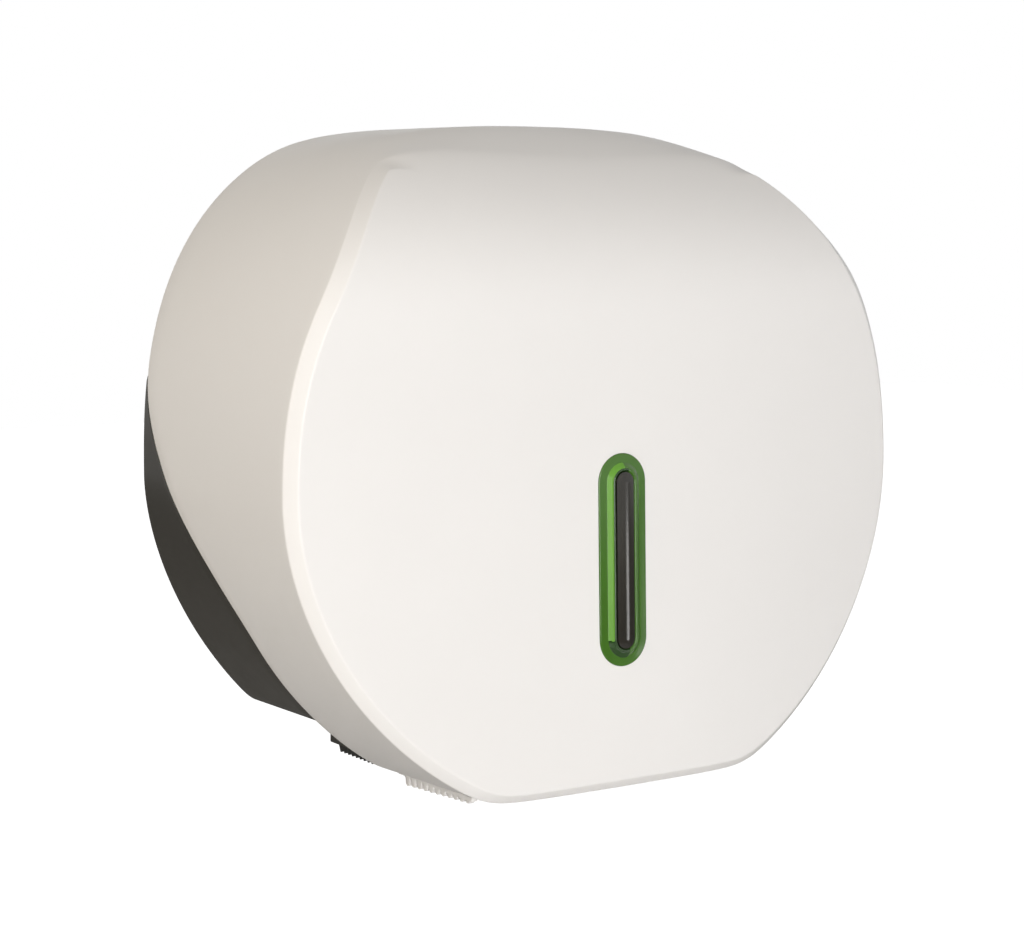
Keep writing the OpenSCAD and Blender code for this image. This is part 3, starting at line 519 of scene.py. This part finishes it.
def tinted_clear(name, colour, roughness, transmission, ior):
    """A tinted clear plastic with a slight drift in its colour."""
    made, shader = material(name, colour, roughness)
    shader.inputs["Transmission Weight"].default_value = transmission
    shader.inputs["IOR"].default_value = ior
    drift(made, shader.inputs["Base Color"], noise(made, 60, 3), scaled(colour, 0.95),
          scaled(colour, 1.05))
    return made


GREEN = tinted_clear("bezel_green", (0.07, 0.2, 0.017), 0.12, 0.25, 1.49)
# The next two are lit and shaded copies of the ring's green: a painted highlight and painted shade.
PAINTED_HIGHLIGHT_GREEN = tinted_clear("bezel_painted_highlight", (0.15, 0.37, 0.05), 0.15, 0.1, 1.2)
PAINTED_SHADE_GREEN = tinted_clear("bezel_painted_shade", (0.02, 0.075, 0.008), 0.1, 0.3, 1.49)
SMOKE = tinted_clear("lens_smoke", (0.05, 0.045, 0.035), 0.12, 0.55, 1.49)


def dress(obj, made, body, slot_name, *nodes):
    """Gives a piece its material and body, and hides the CAD nodes that it stands for. slot_name is
    not used.
    """
    obj.data.materials.clear()
    obj.data.materials.append(made)
    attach(obj, body)
    if nodes:
        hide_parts(*nodes)
    print(obj.name, "faces:", len(obj.data.polygons), "body:", body)
    return obj


# %% [markdown]
# ## The angles round the body
# Points are spaced evenly, with more near the corners at the top and the bottom, where the outline
# turns sharply.

# %% Angles round the body
EVEN_STEPS = 480
CORNERS = (0.937, -1.066, -0.755)
CORNER_SPREAD, CORNER_STEPS = 0.075, 25
even = np.linspace(-np.pi, np.pi, EVEN_STEPS, endpoint=False)
fan = np.linspace(-CORNER_SPREAD, CORNER_SPREAD, CORNER_STEPS)
fans = [fan + corner for corner in CORNERS] + [fan + np.pi - corner for corner in CORNERS]
wrapped = (np.concatenate([even] + fans) + np.pi) % (2 * np.pi) - np.pi
ANGLES = np.unique(np.round(wrapped, 4))
print("points round the outline:", len(ANGLES))

# %% [markdown]
# ## The cover
# The cover is one moulding: side walls, a level top, the bulged front and a flat bevel along the
# front's sides and bottom. Along the top the bevel gives way to a soft crest, which turns the top
# into the front without an edge. Each line of points starts on the swept rear edge, runs over the
# bevel or the crest and ends in the middle of the front. A second set of lines, one wall thickness
# inside, closes the shell.

# %% Cover lines
FRONT_RINGS, INNER_RINGS = 52, 22
RINGS_REACH = 0.985
SIDE_SHARES = np.concatenate([np.linspace(0, 0.5, 7), np.linspace(0.5, 1, 17)[1:]])
INNER_SHARES = np.array([0, 0.3, 0.5, 0.6, 0.7, 0.8, 0.9, 1])
EDGE_REACH, EDGE_STEPS = 0.7, 5
RIM_REACH, RIM_STEPS = 0.5, 4
CREST_TURN = (0.80, 0.865)
CREST_BACK, CREST_DOWN = 4.0, 16.0


def crest_rows(angle, side_y, inner, y_at, count):
    """Rows over the crest: a parabola that leaves the top and meets the front along their slopes.
    Its middle control point is where the two slopes' lines cross."""
    top_slope = side_r(angle, side_y + 0.5) - side_r(angle, side_y - 0.5)
    front_slope = y_at(inner + 0.5) - y_at(inner - 0.5)
    side, front = side_r(angle, side_y), y_at(inner)
    cross_r = ((side + top_slope * (front - front_slope * inner - side_y))
               / (1 - top_slope * front_slope))
    cross = place(angle, cross_r, front + front_slope * (cross_r - inner))
    begin, end = place(angle, side, side_y), place(angle, inner, front)
    return [begin * (1 - t) ** 2 + cross * 2 * t * (1 - t) + end * t ** 2
            for t in np.linspace(0, 1, count)]


def cover_rows(angle, inset, shares, rings, rounded):
    """Rows of points from the rear edge to just before the middle: first the side at shares of its
    depth, then the flat bevel with rounded turns, which gives way to a soft crest along the top,
    then rings that shrink towards the middle by a cosine."""
    start_y = rim_y(WIDEST_Z + side_r(angle, 0.0) * np.sin(angle))
    edge = front_edge_r(angle, inset)
    c, s = np.cos(angle), np.sin(angle)

    def y_at(r):
        """Depth of the front at a distance from the middle."""
        return front_y(r * c, WIDEST_Z + r * s, inset)

    slope = y_at(edge) - y_at(edge - 1)
    turn = ease((s - BEVEL_TURN[0]) / (BEVEL_TURN[1] - BEVEL_TURN[0]))
    crest = ease((s - CREST_TURN[0]) / (CREST_TURN[1] - CREST_TURN[0]))
    back = BEVEL_WIDTH + (TOP_BEVEL_WIDTH - BEVEL_WIDTH) * turn
    down = BEVEL_WIDTH + (TOP_BEVEL_DROP - BEVEL_WIDTH) * turn
    side_y = y_at(edge) + back + (CREST_BACK - back) * crest
    inner = edge - (down + (CREST_DOWN - down) * crest) / np.sqrt(1 + slope ** 2)
    rows = []
    for t in shares:
        y = start_y + (side_y - start_y) * t
        rows.append(place(angle, side_r(angle, y, inset), y))
    skip = 2 * EDGE_REACH / inner
    front = []
    for v in np.linspace(0, np.pi / 2, rings):
        f = 1 - skip - (1 - np.cos(v)) * (RINGS_REACH - skip)
        front.append(place(angle, inner * f, y_at(inner * f)))
    if rounded:
        begin, end = rows[-1], place(angle, inner, y_at(inner))
        flat = (rounded_turn(rows[-2], begin, end, EDGE_REACH, EDGE_STEPS)
                + rounded_turn(begin, end, front[0], EDGE_REACH, EDGE_STEPS))
        soft = crest_rows(angle, side_y, inner, y_at, len(flat))
        weight = crest[:, None]
        rows = rows[:-1] + [one * (1 - weight) + other * weight for one, other in zip(flat, soft)]
    return rows + front


outer = cover_rows(ANGLES, 0.0, SIDE_SHARES, FRONT_RINGS, True)
inner = cover_rows(ANGLES, COVER_WALL, INNER_SHARES, INNER_RINGS, False)
rim_out = rounded_turn(outer[1], outer[0], inner[0], RIM_REACH, RIM_STEPS)
rim_in = rounded_turn(outer[0], inner[0], inner[1], RIM_REACH, RIM_STEPS)
rows = outer[:0:-1] + rim_out + rim_in + inner[1:]
tips = [[0, float(front_y(0.0, WIDEST_Z, inset)), WIDEST_Z] for inset in (0.0, COVER_WALL)]
cover = point_outwards(closed_grid("cover_shell", np.array(rows), tips))
print("cover points:", len(cover.data.vertices))

# %% [markdown]
# ## Openings in the cover
# The bottom is open where the paper hangs out, the front has a round-ended hole and a shallow seat
# for the window, and the top has a flat seat with a boss for the lock. Beside the paper slot two
# plates carry the hinge's knuckles and the front combs. Exact boolean cuts keep the rest of the
# surface.

# %% Cut the cover
LOCK_Y, LOCK_SEAT_Z = -30.0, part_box("lock_sleeve")[1].z / MM - 1.8
SLEEVE_FLANGE_R, SLEEVE_R = 11.5, 9.0
LOCK_BOSS_LOW_Z = LOCK_SEAT_Z - 5
WINDOW_X, WINDOW_Z = -2.8, -39.8
WINDOW_TILT = math.atan(front_y(WINDOW_X, WINDOW_Z + 0.5) - front_y(WINDOW_X, WINDOW_Z - 0.5))
WINDOW_Y = float(front_y(WINDOW_X, WINDOW_Z))
BEZEL_R, BEZEL_LENGTH, RING_WIDTH = 12.4, 92.4, 5.0
STRAIGHT = BEZEL_LENGTH - 2 * BEZEL_R
INSERT_R = BEZEL_R - RING_WIDTH + 1.6
RING_SEAT_Y, RING_FIT, INSERT_FIT, PIN_FIT = 0.25, 0.05, 0.2, 0.05


def at_window(obj):
    """Turns a piece made round the window's middle to the front's lean, and places it there."""
    obj.data.transform(Matrix.Translation(Vector((WINDOW_X, WINDOW_Y, WINDOW_Z)) * MM)
                       @ Matrix.Rotation(-WINDOW_TILT, 4, "X"))
    return obj


def rod_x(name, radius, x1, x2, y, z):
    """A rod along X with slightly rounded ends."""
    edge = min(0.3, radius / 4)
    low, high = min(x1, x2), max(x1, x2)
    profile = [(AXIS_R, low), (radius - edge, low), (radius, low + edge),
               (radius, high - edge), (radius - edge, high), (AXIS_R, high)]
    return turned(name, profile, "x", (0, y, z), 64)


def span(x1, x2, side):
    """Two places on one side of the middle, in rising order."""
    return sorted((x1 * side, x2 * side))


slot_cut = box("slot_cut", (-SLOT_X, SLOT_FRONT_Y, -160), (SLOT_X, 5, HINGE_Z - 6))
window_cut = at_window(prism("window_cut", stadium(INSERT_R + INSERT_FIT, STRAIGHT), -6, 8, "y"))
ring_cut = at_window(prism("ring_cut", stadium(BEZEL_R + RING_FIT, STRAIGHT), -6, RING_SEAT_Y, "y"))
lock_axis = (0, LOCK_Y, 0)
boss = rod("boss", SLEEVE_FLANGE_R + 2.5, LOCK_BOSS_LOW_Z, LOCK_SEAT_Z + 0.5, "z", lock_axis)
seat_cut = rod("seat_cut", SLEEVE_FLANGE_R + 0.3, LOCK_SEAT_Z, LOCK_SEAT_Z + 9, "z", lock_axis)
hole_cut = rod("hole_cut", SLEEVE_R + 0.1, LOCK_BOSS_LOW_Z - 3, LOCK_SEAT_Z + 3, "z", lock_axis)
# From the side, a plate is a bar below the hinge with a step up round the knuckle.
comb_end_y, plate_low_z = HINGE_Y - 1.5, COVER_BOTTOM_Z + 1
knuckle_low_z, knuckle_top_z = HINGE_Z - KNUCKLE_R, HINGE_Z + KNUCKLE_R
plate_outline = [(SLOT_FRONT_Y - 5, plate_low_z), (comb_end_y, plate_low_z),
                 (comb_end_y, knuckle_low_z), (HINGE_Y, knuckle_low_z), (HINGE_Y, knuckle_top_z),
                 (HINGE_Y - 8, knuckle_top_z), (HINGE_Y - 8, HINGE_Z), (SLOT_FRONT_Y - 5, HINGE_Z)]
plates, knuckles, pin_holes = [], [], []
for side in (-1, 1):
    x1, x2 = span(SLOT_X, PLATE_X, side)
    plates.append(prism("plate", plate_outline, x1, x2, "x"))
    k1, k2 = span(ARM_OUT_X + 1, PLATE_X, side)
    knuckles.append(rod_x("knuckle", KNUCKLE_R, k1, k2, HINGE_Y, HINGE_Z))
    h1, h2 = span(ARM_OUT_X, PLATE_X + 1, side)
    pin_holes.append(rod_x("pin_hole", PIN_R + PIN_FIT, h1, h2, HINGE_Y, HINGE_Z))
cut_away(cover, [slot_cut])
cut_away(cover, [boss] + plates + knuckles, "UNION")
cut_away(cover, [window_cut, ring_cut, seat_cut, hole_cut] + pin_holes)
smooth(cover)
dress(cover, WHITE, "cover", "cover_white", "front_cover")

# %% [markdown]
# ## The rear housing
# The housing is a dark shell that follows the same outlines. Behind the cover's edge it's flush
# with the body; there it steps in and passes under the cover as a flange. Its bottom is flat and
# higher than the cover's. The rows run from the flange's edge over the step to the wall, and back
# inside.

# %% Housing shell
FLANGE_INSET, FLUSH_INSET = 3.4, 0.3
LIP_END_Z, LIP_END_HEIGHT = 36.0, 5.0
FLANGE_DEPTH, LOW_FLANGE_REACH = 14.0, 3.0
WALL_HOLE_R, WALL_HOLE_X, WALL_HOLE_Z = 2.75, 105, 65


def housing_point(angle, y, inset):
    """A point of the housing's side at a depth, moved in by an inset."""
    return place(angle, side_r(angle, y, inset, HOUSING_BOTTOM_Z), y)


z_out = WIDEST_Z + side_r(ANGLES, 0.0, 0.0, HOUSING_BOTTOM_Z) * np.sin(ANGLES)
lip = np.minimum(rim_y(z_out) + RIM_GAP, -0.3)
lip_end = ease((z_out - LIP_END_Z) / LIP_END_HEIGHT)
lip_in = FLUSH_INSET + (FLANGE_INSET - 0.4 - FLUSH_INSET) * lip_end
flange = (np.minimum(lip, -PLATE) - LOW_FLANGE_REACH
          - (FLANGE_DEPTH - PLATE - LOW_FLANGE_REACH) * ease((z_out - 10) / 30))
even_wall = ease((-lip - PLATE - 5) / 6)
back_in = FLANGE_INSET + (lip_in - FLANGE_INSET) * even_wall + HOUSING_WALL
step_y = np.minimum(lip + HOUSING_WALL, -PLATE - 1)
back_y = np.minimum(lip + 2 * HOUSING_WALL, -PLATE - 0.5)
turn_in = np.minimum(0.4, -lip * 0.4)
skin = [housing_point(ANGLES, flange, FLANGE_INSET), housing_point(ANGLES, lip, FLANGE_INSET)]
skin.append(housing_point(ANGLES, lip, lip_in + turn_in))
skin.append(housing_point(ANGLES, lip + turn_in * 0.3, lip_in + turn_in * 0.3))
for t in (1, 0.85, 0.7, 0.5, 0.35, 0.2, 0):
    skin.append(housing_point(ANGLES, (lip + turn_in) * t - turn_in * 0.1 * (t == 0), lip_in))
skin.append(housing_point(ANGLES, 0.0, lip_in + 0.3))
cavity = [housing_point(ANGLES, flange, FLANGE_INSET + HOUSING_WALL),
          housing_point(ANGLES, step_y, FLANGE_INSET + HOUSING_WALL)]
for t in (0, 0.25, 0.5, 0.75, 1):
    y = back_y + (-PLATE - back_y) * t
    cavity.append(housing_point(ANGLES, y, back_in))
for f in (0.8, 0.5, 0.2):
    cavity.append(place(ANGLES, side_r(ANGLES, -PLATE, 6.0, HOUSING_BOTTOM_Z) * f, -PLATE))
tips = [[0, 0, WIDEST_Z], [0, -PLATE, WIDEST_Z]]
housing = point_outwards(closed_grid("housing_shell", np.array(skin[::-1] + cavity), tips))
paper_cut = box("paper_cut", (-ARM_IN_X, -64, -150), (ARM_IN_X, -5, HOUSING_BOTTOM_Z + 12))
wall_holes = [rod("wall_hole", WALL_HOLE_R, -8, 2, "y", (x, 0, z), 32)
              for x in (-WALL_HOLE_X, WALL_HOLE_X) for z in (-WALL_HOLE_Z, WALL_HOLE_Z)]
cut_away(housing, [paper_cut] + wall_holes)
smooth(housing)
dress(housing, DARK, "base", "housing_grey", "rear_housing")

# %% [markdown]
# ## Inside the housing
# Ribs stiffen the back plate, a round boss carries the axle, and under the bottom wall two arms
# carry the hinge pins and two plates carry the rear combs. The arms and the comb plates get a small
# moulded radius on their edges.

# %% Housing frame
RIB_FRONT, ROOT_Y = -6.0, -2.5
HANGER_Z = HOUSING_BOTTOM_Z + 1


def rib(x1, x2, z1, z2):
    """A rib on the back plate."""
    return box("rib", (x1, RIB_FRONT, z1), (x2, ROOT_Y, z2))


boss_profile = [(AXIS_R, ROOT_Y), (AXIS_R, -7), (31.6, -7), (32, -6.6), (32, ROOT_Y)]
boss_ring = turned("housing_frame", boss_profile, "y", (0, 0, 0))
pieces = [rib(-104, 104, z - 1, z + 1) for z in (-84, 84)]
pieces += [rib(x - 1, x + 1, -96, 96) for x in (-63, 63)]
pieces.append(rib(-148, 148, -1, 1))
arm = [(ROOT_Y, HANGER_Z), (ROOT_Y, HOUSING_BOTTOM_Z - 5), (HINGE_Y + 20, knuckle_low_z),
       (HINGE_Y, knuckle_low_z), (HINGE_Y, knuckle_top_z), (HINGE_Y + 10, HANGER_Z)]
for side in (-1, 1):
    a1, a2 = span(ARM_IN_X, ARM_OUT_X, side)
    pieces.append(soften(prism("arm", arm, a1, a2, "x"), 0.5, 2))
    pieces.append(rod_x("arm_end", KNUCKLE_R, a1, a2, HINGE_Y, HINGE_Z))
    w1, w2 = span(ARM_IN_X + 0.5, SLOT_X + 1, side)
    pieces.append(box("web", (w1, -36, HINGE_Z - 5), (w2, -33, HANGER_Z)))
    c1, c2 = span(SLOT_X, PLATE_X, side)
    pieces.append(soften(box("comb_plate", (c1, -40, -136.8), (c2, ROOT_Y, HANGER_Z)), 0.6, 2))
cut_away(boss_ring, pieces, "UNION")
smooth(boss_ring)
dress(boss_ring, DARK, "base", "housing_grey", "rear_housing")

# %% [markdown]
# ## The window
# The ring and the lens are profiles swept round a round-ended outline: for each point of the
# profile the outline is drawn again, larger or smaller and deeper or shallower. The ring has a
# nearly flat face that falls slightly inwards, a slope that rises to a rounded rim and a collar
# behind it; the lens in the rim is domed.

# %% Window ring and lens


def swept(name, profile, tips=None):
    """Sweeps (radius, depth) pairs round the window's outline; a closed profile wraps round."""
    levels = []
    for radius, depth in profile:
        flat = stadium(radius, STRAIGHT, 56)
        levels.append(np.stack([flat[:, 0], np.full(len(flat), depth), flat[:, 1]], -1))
    grid = np.array(levels)
    made = ring_grid(name, grid) if tips is None else closed_grid(name, grid, tips)
    return at_window(point_outwards(weld(made)))


def corner_arc(centre_r, centre_y, radius, start, end, steps=5):
    """Points of an arc in a profile, from one angle in degrees to another."""
    turns = [math.radians(a) for a in np.linspace(start, end, steps)]
    return [(centre_r + radius * math.cos(a), centre_y + radius * math.sin(a)) for a in turns]


ring_back = RING_SEAT_Y - RING_FIT
ring_edge = [(BEZEL_R, ring_back), (BEZEL_R, -0.1)] + corner_arc(11.9, -0.1, 0.5, 0, -90)[1:]
ring_face = [(11.5, -0.63), (8.9, -0.8), (8.6, -0.83), (8.4, -0.9)]
ring_slope = [(8.1, -1.08), (7.2, -1.77), (6.3, -2.4)]
ring_rim = corner_arc(5.5, -2.15, 0.55, -20, -160, 9)
ring_collar = [(4.5, -1.9), (4.5, 0.5), (4.5, 5.5), (9.0, 5.5), (9.0, ring_back)]
window_ring = swept("window_ring", ring_edge + ring_face + ring_slope + ring_rim + ring_collar)
smooth(window_ring, 50)
dress(window_ring, GREEN, "cover", "bezel_green", "window_bezel")

# The ring is one clear green plastic. The left half of its slope gets a lighter green as a painted
# highlight, and its rim and lower end get a darker green as painted shade. Each face is chosen by
# its distance from the window's middle line.
SLOPE_R, RIM_EDGE_R, SLOPE_FACE_Y = 8.45, 6.1, -0.83
window_ring.data.materials.append(PAINTED_HIGHLIGHT_GREEN)
window_ring.data.materials.append(PAINTED_SHADE_GREEN)
middles = np.empty(len(window_ring.data.polygons) * 3)
window_ring.data.polygons.foreach_get("center", middles)
middles = middles.reshape(-1, 3) / MM - np.array([WINDOW_X, WINDOW_Y, WINDOW_Z])
middles[:, 1] -= middles[:, 2] * math.tan(WINDOW_TILT)
off_line = np.hypot(middles[:, 0], np.maximum(np.abs(middles[:, 2]) - STRAIGHT / 2, 0))
raised = (middles[:, 1] < SLOPE_FACE_Y) & (off_line < SLOPE_R)
painted_highlight_faces = raised & (middles[:, 0] < 0) & (off_line > RIM_EDGE_R) & (middles[:, 2] > -STRAIGHT / 2 - 0.5)
rim_or_end = (off_line < RIM_EDGE_R) | (middles[:, 2] < -STRAIGHT / 2)
painted_shade_faces = raised & ~painted_highlight_faces & rim_or_end & (middles[:, 0] < 2)
window_ring.data.polygons.foreach_set("material_index", painted_highlight_faces * 1 + painted_shade_faces * 2)
print("lime faces:", int(painted_highlight_faces.sum()), "deep green faces:", int(painted_shade_faces.sum()))

# The lens's front is a circle's arc, and its back is flat.
LENS_R, LENS_CREST, LENS_CURVE, LENS_THICKNESS = 4.45, -3.42, 14.0, 4.0
lens_profile = [(r, LENS_CREST + LENS_CURVE - math.sqrt(LENS_CURVE ** 2 - r ** 2))
                for r in (0.02, 0.4, 0.8, 1.2, 1.6, 2, 2.4, 2.8, 3.2, 3.6, 4.0, 4.25, LENS_R)]
lens_back = LENS_CREST + LENS_THICKNESS
lens_profile.append((LENS_R, -1.5))
lens_profile += [(r, lens_back) for r in (LENS_R, 3.0, 1.5, 0.02)]
lens = swept("window_pane", lens_profile)
smooth(lens, 40)
dress(lens, SMOKE, "cover", "lens_smoke", "window_lens")

# %% [markdown]
# ## The tear combs
# Each comb is a bar with a row of teeth below it, cut as one outline in depth and height and given
# the comb's thickness. The front teeth are round, the rear ones pointed.

# %% Tear combs
COMB_THICKNESS, COMB_BAR = 3.0, 9.0
FRONT_COMB_LENGTH, REAR_COMB_LENGTH = 54.0, 32.0
FRONT_COMB_RISE = 3.1


def comb_outline(length, count, tooth, round_teeth):
    """The outline of a comb from its rear end forwards: teeth below a root at height 0, bar
    above."""
    pitch = length / count
    points = [(0.0, COMB_BAR), (0.0, 0.0)]
    for i in range(count):
        middle = -(i + 0.5) * pitch
        if round_teeth:
            radius = pitch * 0.36
            arc = np.linspace(0, np.pi, 13)
            points += [(middle + radius, 0.0)]
            points += [(middle + radius * math.cos(a), -tooth + radius - radius * math.sin(a))
                       for a in arc]
            points += [(middle - radius, 0.0)]
        else:
            half = pitch * 0.46
            points += [(middle + half, 0.0), (middle + 0.12, -tooth + 0.1),
                       (middle - 0.12, -tooth + 0.1), (middle - half, 0.0)]
    points += [(-length, 0.0), (-length, COMB_BAR)]
    return points


def comb(name, length, count, tooth, round_teeth, side, place_mm, tilt):
    """A comb on one side of the paper slot, tilted round X and placed."""
    made = prism(name, comb_outline(length, count, tooth, round_teeth), 0, COMB_THICKNESS, "x")
    soften(made, 0.25, 2, 25)
    made.data.transform(Matrix.Translation(Vector(place_mm) * MM) @ Matrix.Rotation(-tilt, 4, "X"))
    if side > 0:
        made.data.transform(Matrix.Scale(-1, 4, (1, 0, 0)))
        point_outwards(made)
    return smooth(made, 30)


for side, hand in ((-1, "left"), (1, "right")):
    front = comb("front_comb_" + hand, FRONT_COMB_LENGTH, 11, 3.6, True, side,
                 (-SLOT_X, comb_end_y, -141.1), math.asin(FRONT_COMB_RISE / FRONT_COMB_LENGTH))
    dress(front, WHITE, "cover", "cover_white", "tear_comb_front_" + hand)
    rear = comb("rear_comb_" + hand, REAR_COMB_LENGTH, 9, 3.4, False, side,
                (-SLOT_X, -5.5, -137.8), 0.0)
    dress(rear, BLACK, "base", "comb_black", "tear_comb_rear_" + hand)

# %% [markdown]
# ## The lock's sleeve
# The sleeve is turned metal: a thin flange with rounded edges sits in the top's recess, and a ring
# round the barrel is a little lower. It's one closed profile turned round the lock's axis.

# %% Lock sleeve
SLEEVE_LOW_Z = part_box("lock_sleeve")[0].z / MM
seat = LOCK_SEAT_Z
tube = [(7.05, SLEEVE_LOW_Z), (8.7, SLEEVE_LOW_Z), (SLEEVE_R, SLEEVE_LOW_Z + 0.3), (SLEEVE_R, seat)]
flange_edge = [(11.3, seat), (SLEEVE_FLANGE_R, seat + 0.2), (SLEEVE_FLANGE_R, seat + 1.2),
               (11.35, seat + 1.6), (11.0, seat + 1.78)]
barrel_ring = [(8.2, seat + 1.8), (7.9, seat + 1.7), (7.6, seat + 1.4), (7.05, seat + 1.35)]
sleeve = turned("sleeve", tube + flange_edge + barrel_ring, "z", lock_axis, 128)
smooth(sleeve, 35)
dress(sleeve, CHROME, "cover", "lock_chrome", "lock_sleeve")

# %% [markdown]
# ## The rest of the CAD nodes
# Small turned and bent parts have the right shape already, so they only get a finish.

# %% Finishes of the CAD nodes
FINISHES = {"cover_white": WHITE, "housing_grey": DARK, "comb_black": BLACK, "hub_grey": GREY,
            "steel": STEEL, "lock_chrome": CHROME, "bezel_green": GREEN, "lens_smoke": SMOKE}
for part in frame["record"]["subparts"]:
    node = frame["nodes"][part["node"]]
    node.data.materials.clear()
    node.data.materials.append(FINISHES[part["material_slot"]])

# %% [markdown]
# ## Floor, light and background
# The dispenser hangs on a wall, so the floor lies far below it. The light is soft and comes mostly
# from the front; a warmer lamp high on the left lights the side, and a small low one on the right
# gives the lens its highlight. The world lights the object evenly, and only the camera and
# reflections see it as white.

# %% Stage and light
FLOOR_Z, FLOOR_HALF = -0.9, 9
AMBIENT_STRENGTH = 0.08
floor_corners = [(x * FLOOR_HALF, y * FLOOR_HALF, FLOOR_Z)
                 for x, y in ((-1, -1), (1, -1), (1, 1), (-1, 1))]
floor_mesh = bpy.data.meshes.new("floor")
floor_mesh.from_pydata(floor_corners, [], [(0, 1, 2, 3)])
floor = bpy.data.objects.new("floor", floor_mesh)
bpy.context.scene.collection.objects.link(floor)
floor_paint, floor_shader = material("floor_paint", (0.9, 0.9, 0.9), 0.9)
glow_path = floor_paint.node_tree.nodes.new("ShaderNodeLightPath")
floor_shader.inputs["Emission Color"].default_value = (1, 1, 1, 1)
floor_paint.node_tree.links.new(glow_path.outputs["Is Camera Ray"],
                                floor_shader.inputs["Emission Strength"])
floor.data.materials.append(floor_paint)

world = bpy.data.worlds.new("studio")
bpy.context.scene.world = world
world.use_nodes = True
nodes, links = world.node_tree.nodes, world.node_tree.links
nodes.clear()
path = nodes.new("ShaderNodeLightPath")
seen = nodes.new("ShaderNodeMath")
seen.operation = "MAXIMUM"
links.new(path.outputs["Is Camera Ray"], seen.inputs[0])
links.new(path.outputs["Is Transmission Ray"], seen.inputs[1])
shiny = nodes.new("ShaderNodeMath")
shiny.operation = "MAXIMUM"
links.new(seen.outputs[0], shiny.inputs[0])
links.new(path.outputs["Is Glossy Ray"], shiny.inputs[1])
ambient = nodes.new("ShaderNodeBackground")
ambient.inputs["Color"].default_value = (1.0, 0.99, 0.975, 1)
ambient.inputs["Strength"].default_value = AMBIENT_STRENGTH
white = nodes.new("ShaderNodeBackground")
white.inputs["Color"].default_value = (1, 1, 1, 1)
white.inputs["Strength"].default_value = 1.0
mix = nodes.new("ShaderNodeMixShader")
out = nodes.new("ShaderNodeOutputWorld")
links.new(shiny.outputs[0], mix.inputs[0])
links.new(ambient.outputs[0], mix.inputs[1])
links.new(white.outputs[0], mix.inputs[2])
links.new(mix.outputs[0], out.inputs["Surface"])


def lamp(name, place_m, target_m, size, power, colour):
    """A rectangular area lamp that points at a target; a larger size gives softer shadows."""
    data = bpy.data.lights.new(name, "AREA")
    data.shape = "RECTANGLE"
    data.size, data.size_y = size
    data.energy = power
    data.color = colour
    made = bpy.data.objects.new(name, data)
    bpy.context.scene.collection.objects.link(made)
    where = Vector(place_m)
    aim = (Vector(target_m) - where).to_track_quat("-Z", "Y").to_matrix().to_4x4()
    made.matrix_world = Matrix.Translation(where) @ aim
    return made


BODY = (0, -0.08, 0)
lamp("key", (-0.9, -2.2, 0.2), BODY, (1.5, 1.3), 41, (1, 0.99, 0.98))
lamp("left_fill", (-2.1, -0.3, 1.2), BODY, (1.4, 1.4), 17, (1, 0.88, 0.7))
lamp("low_right", (1.4, -1.88, -0.39), BODY, (0.42, 0.36), 3, (1, 0.99, 0.98))

bpy.context.scene.view_settings.view_transform = "Standard"
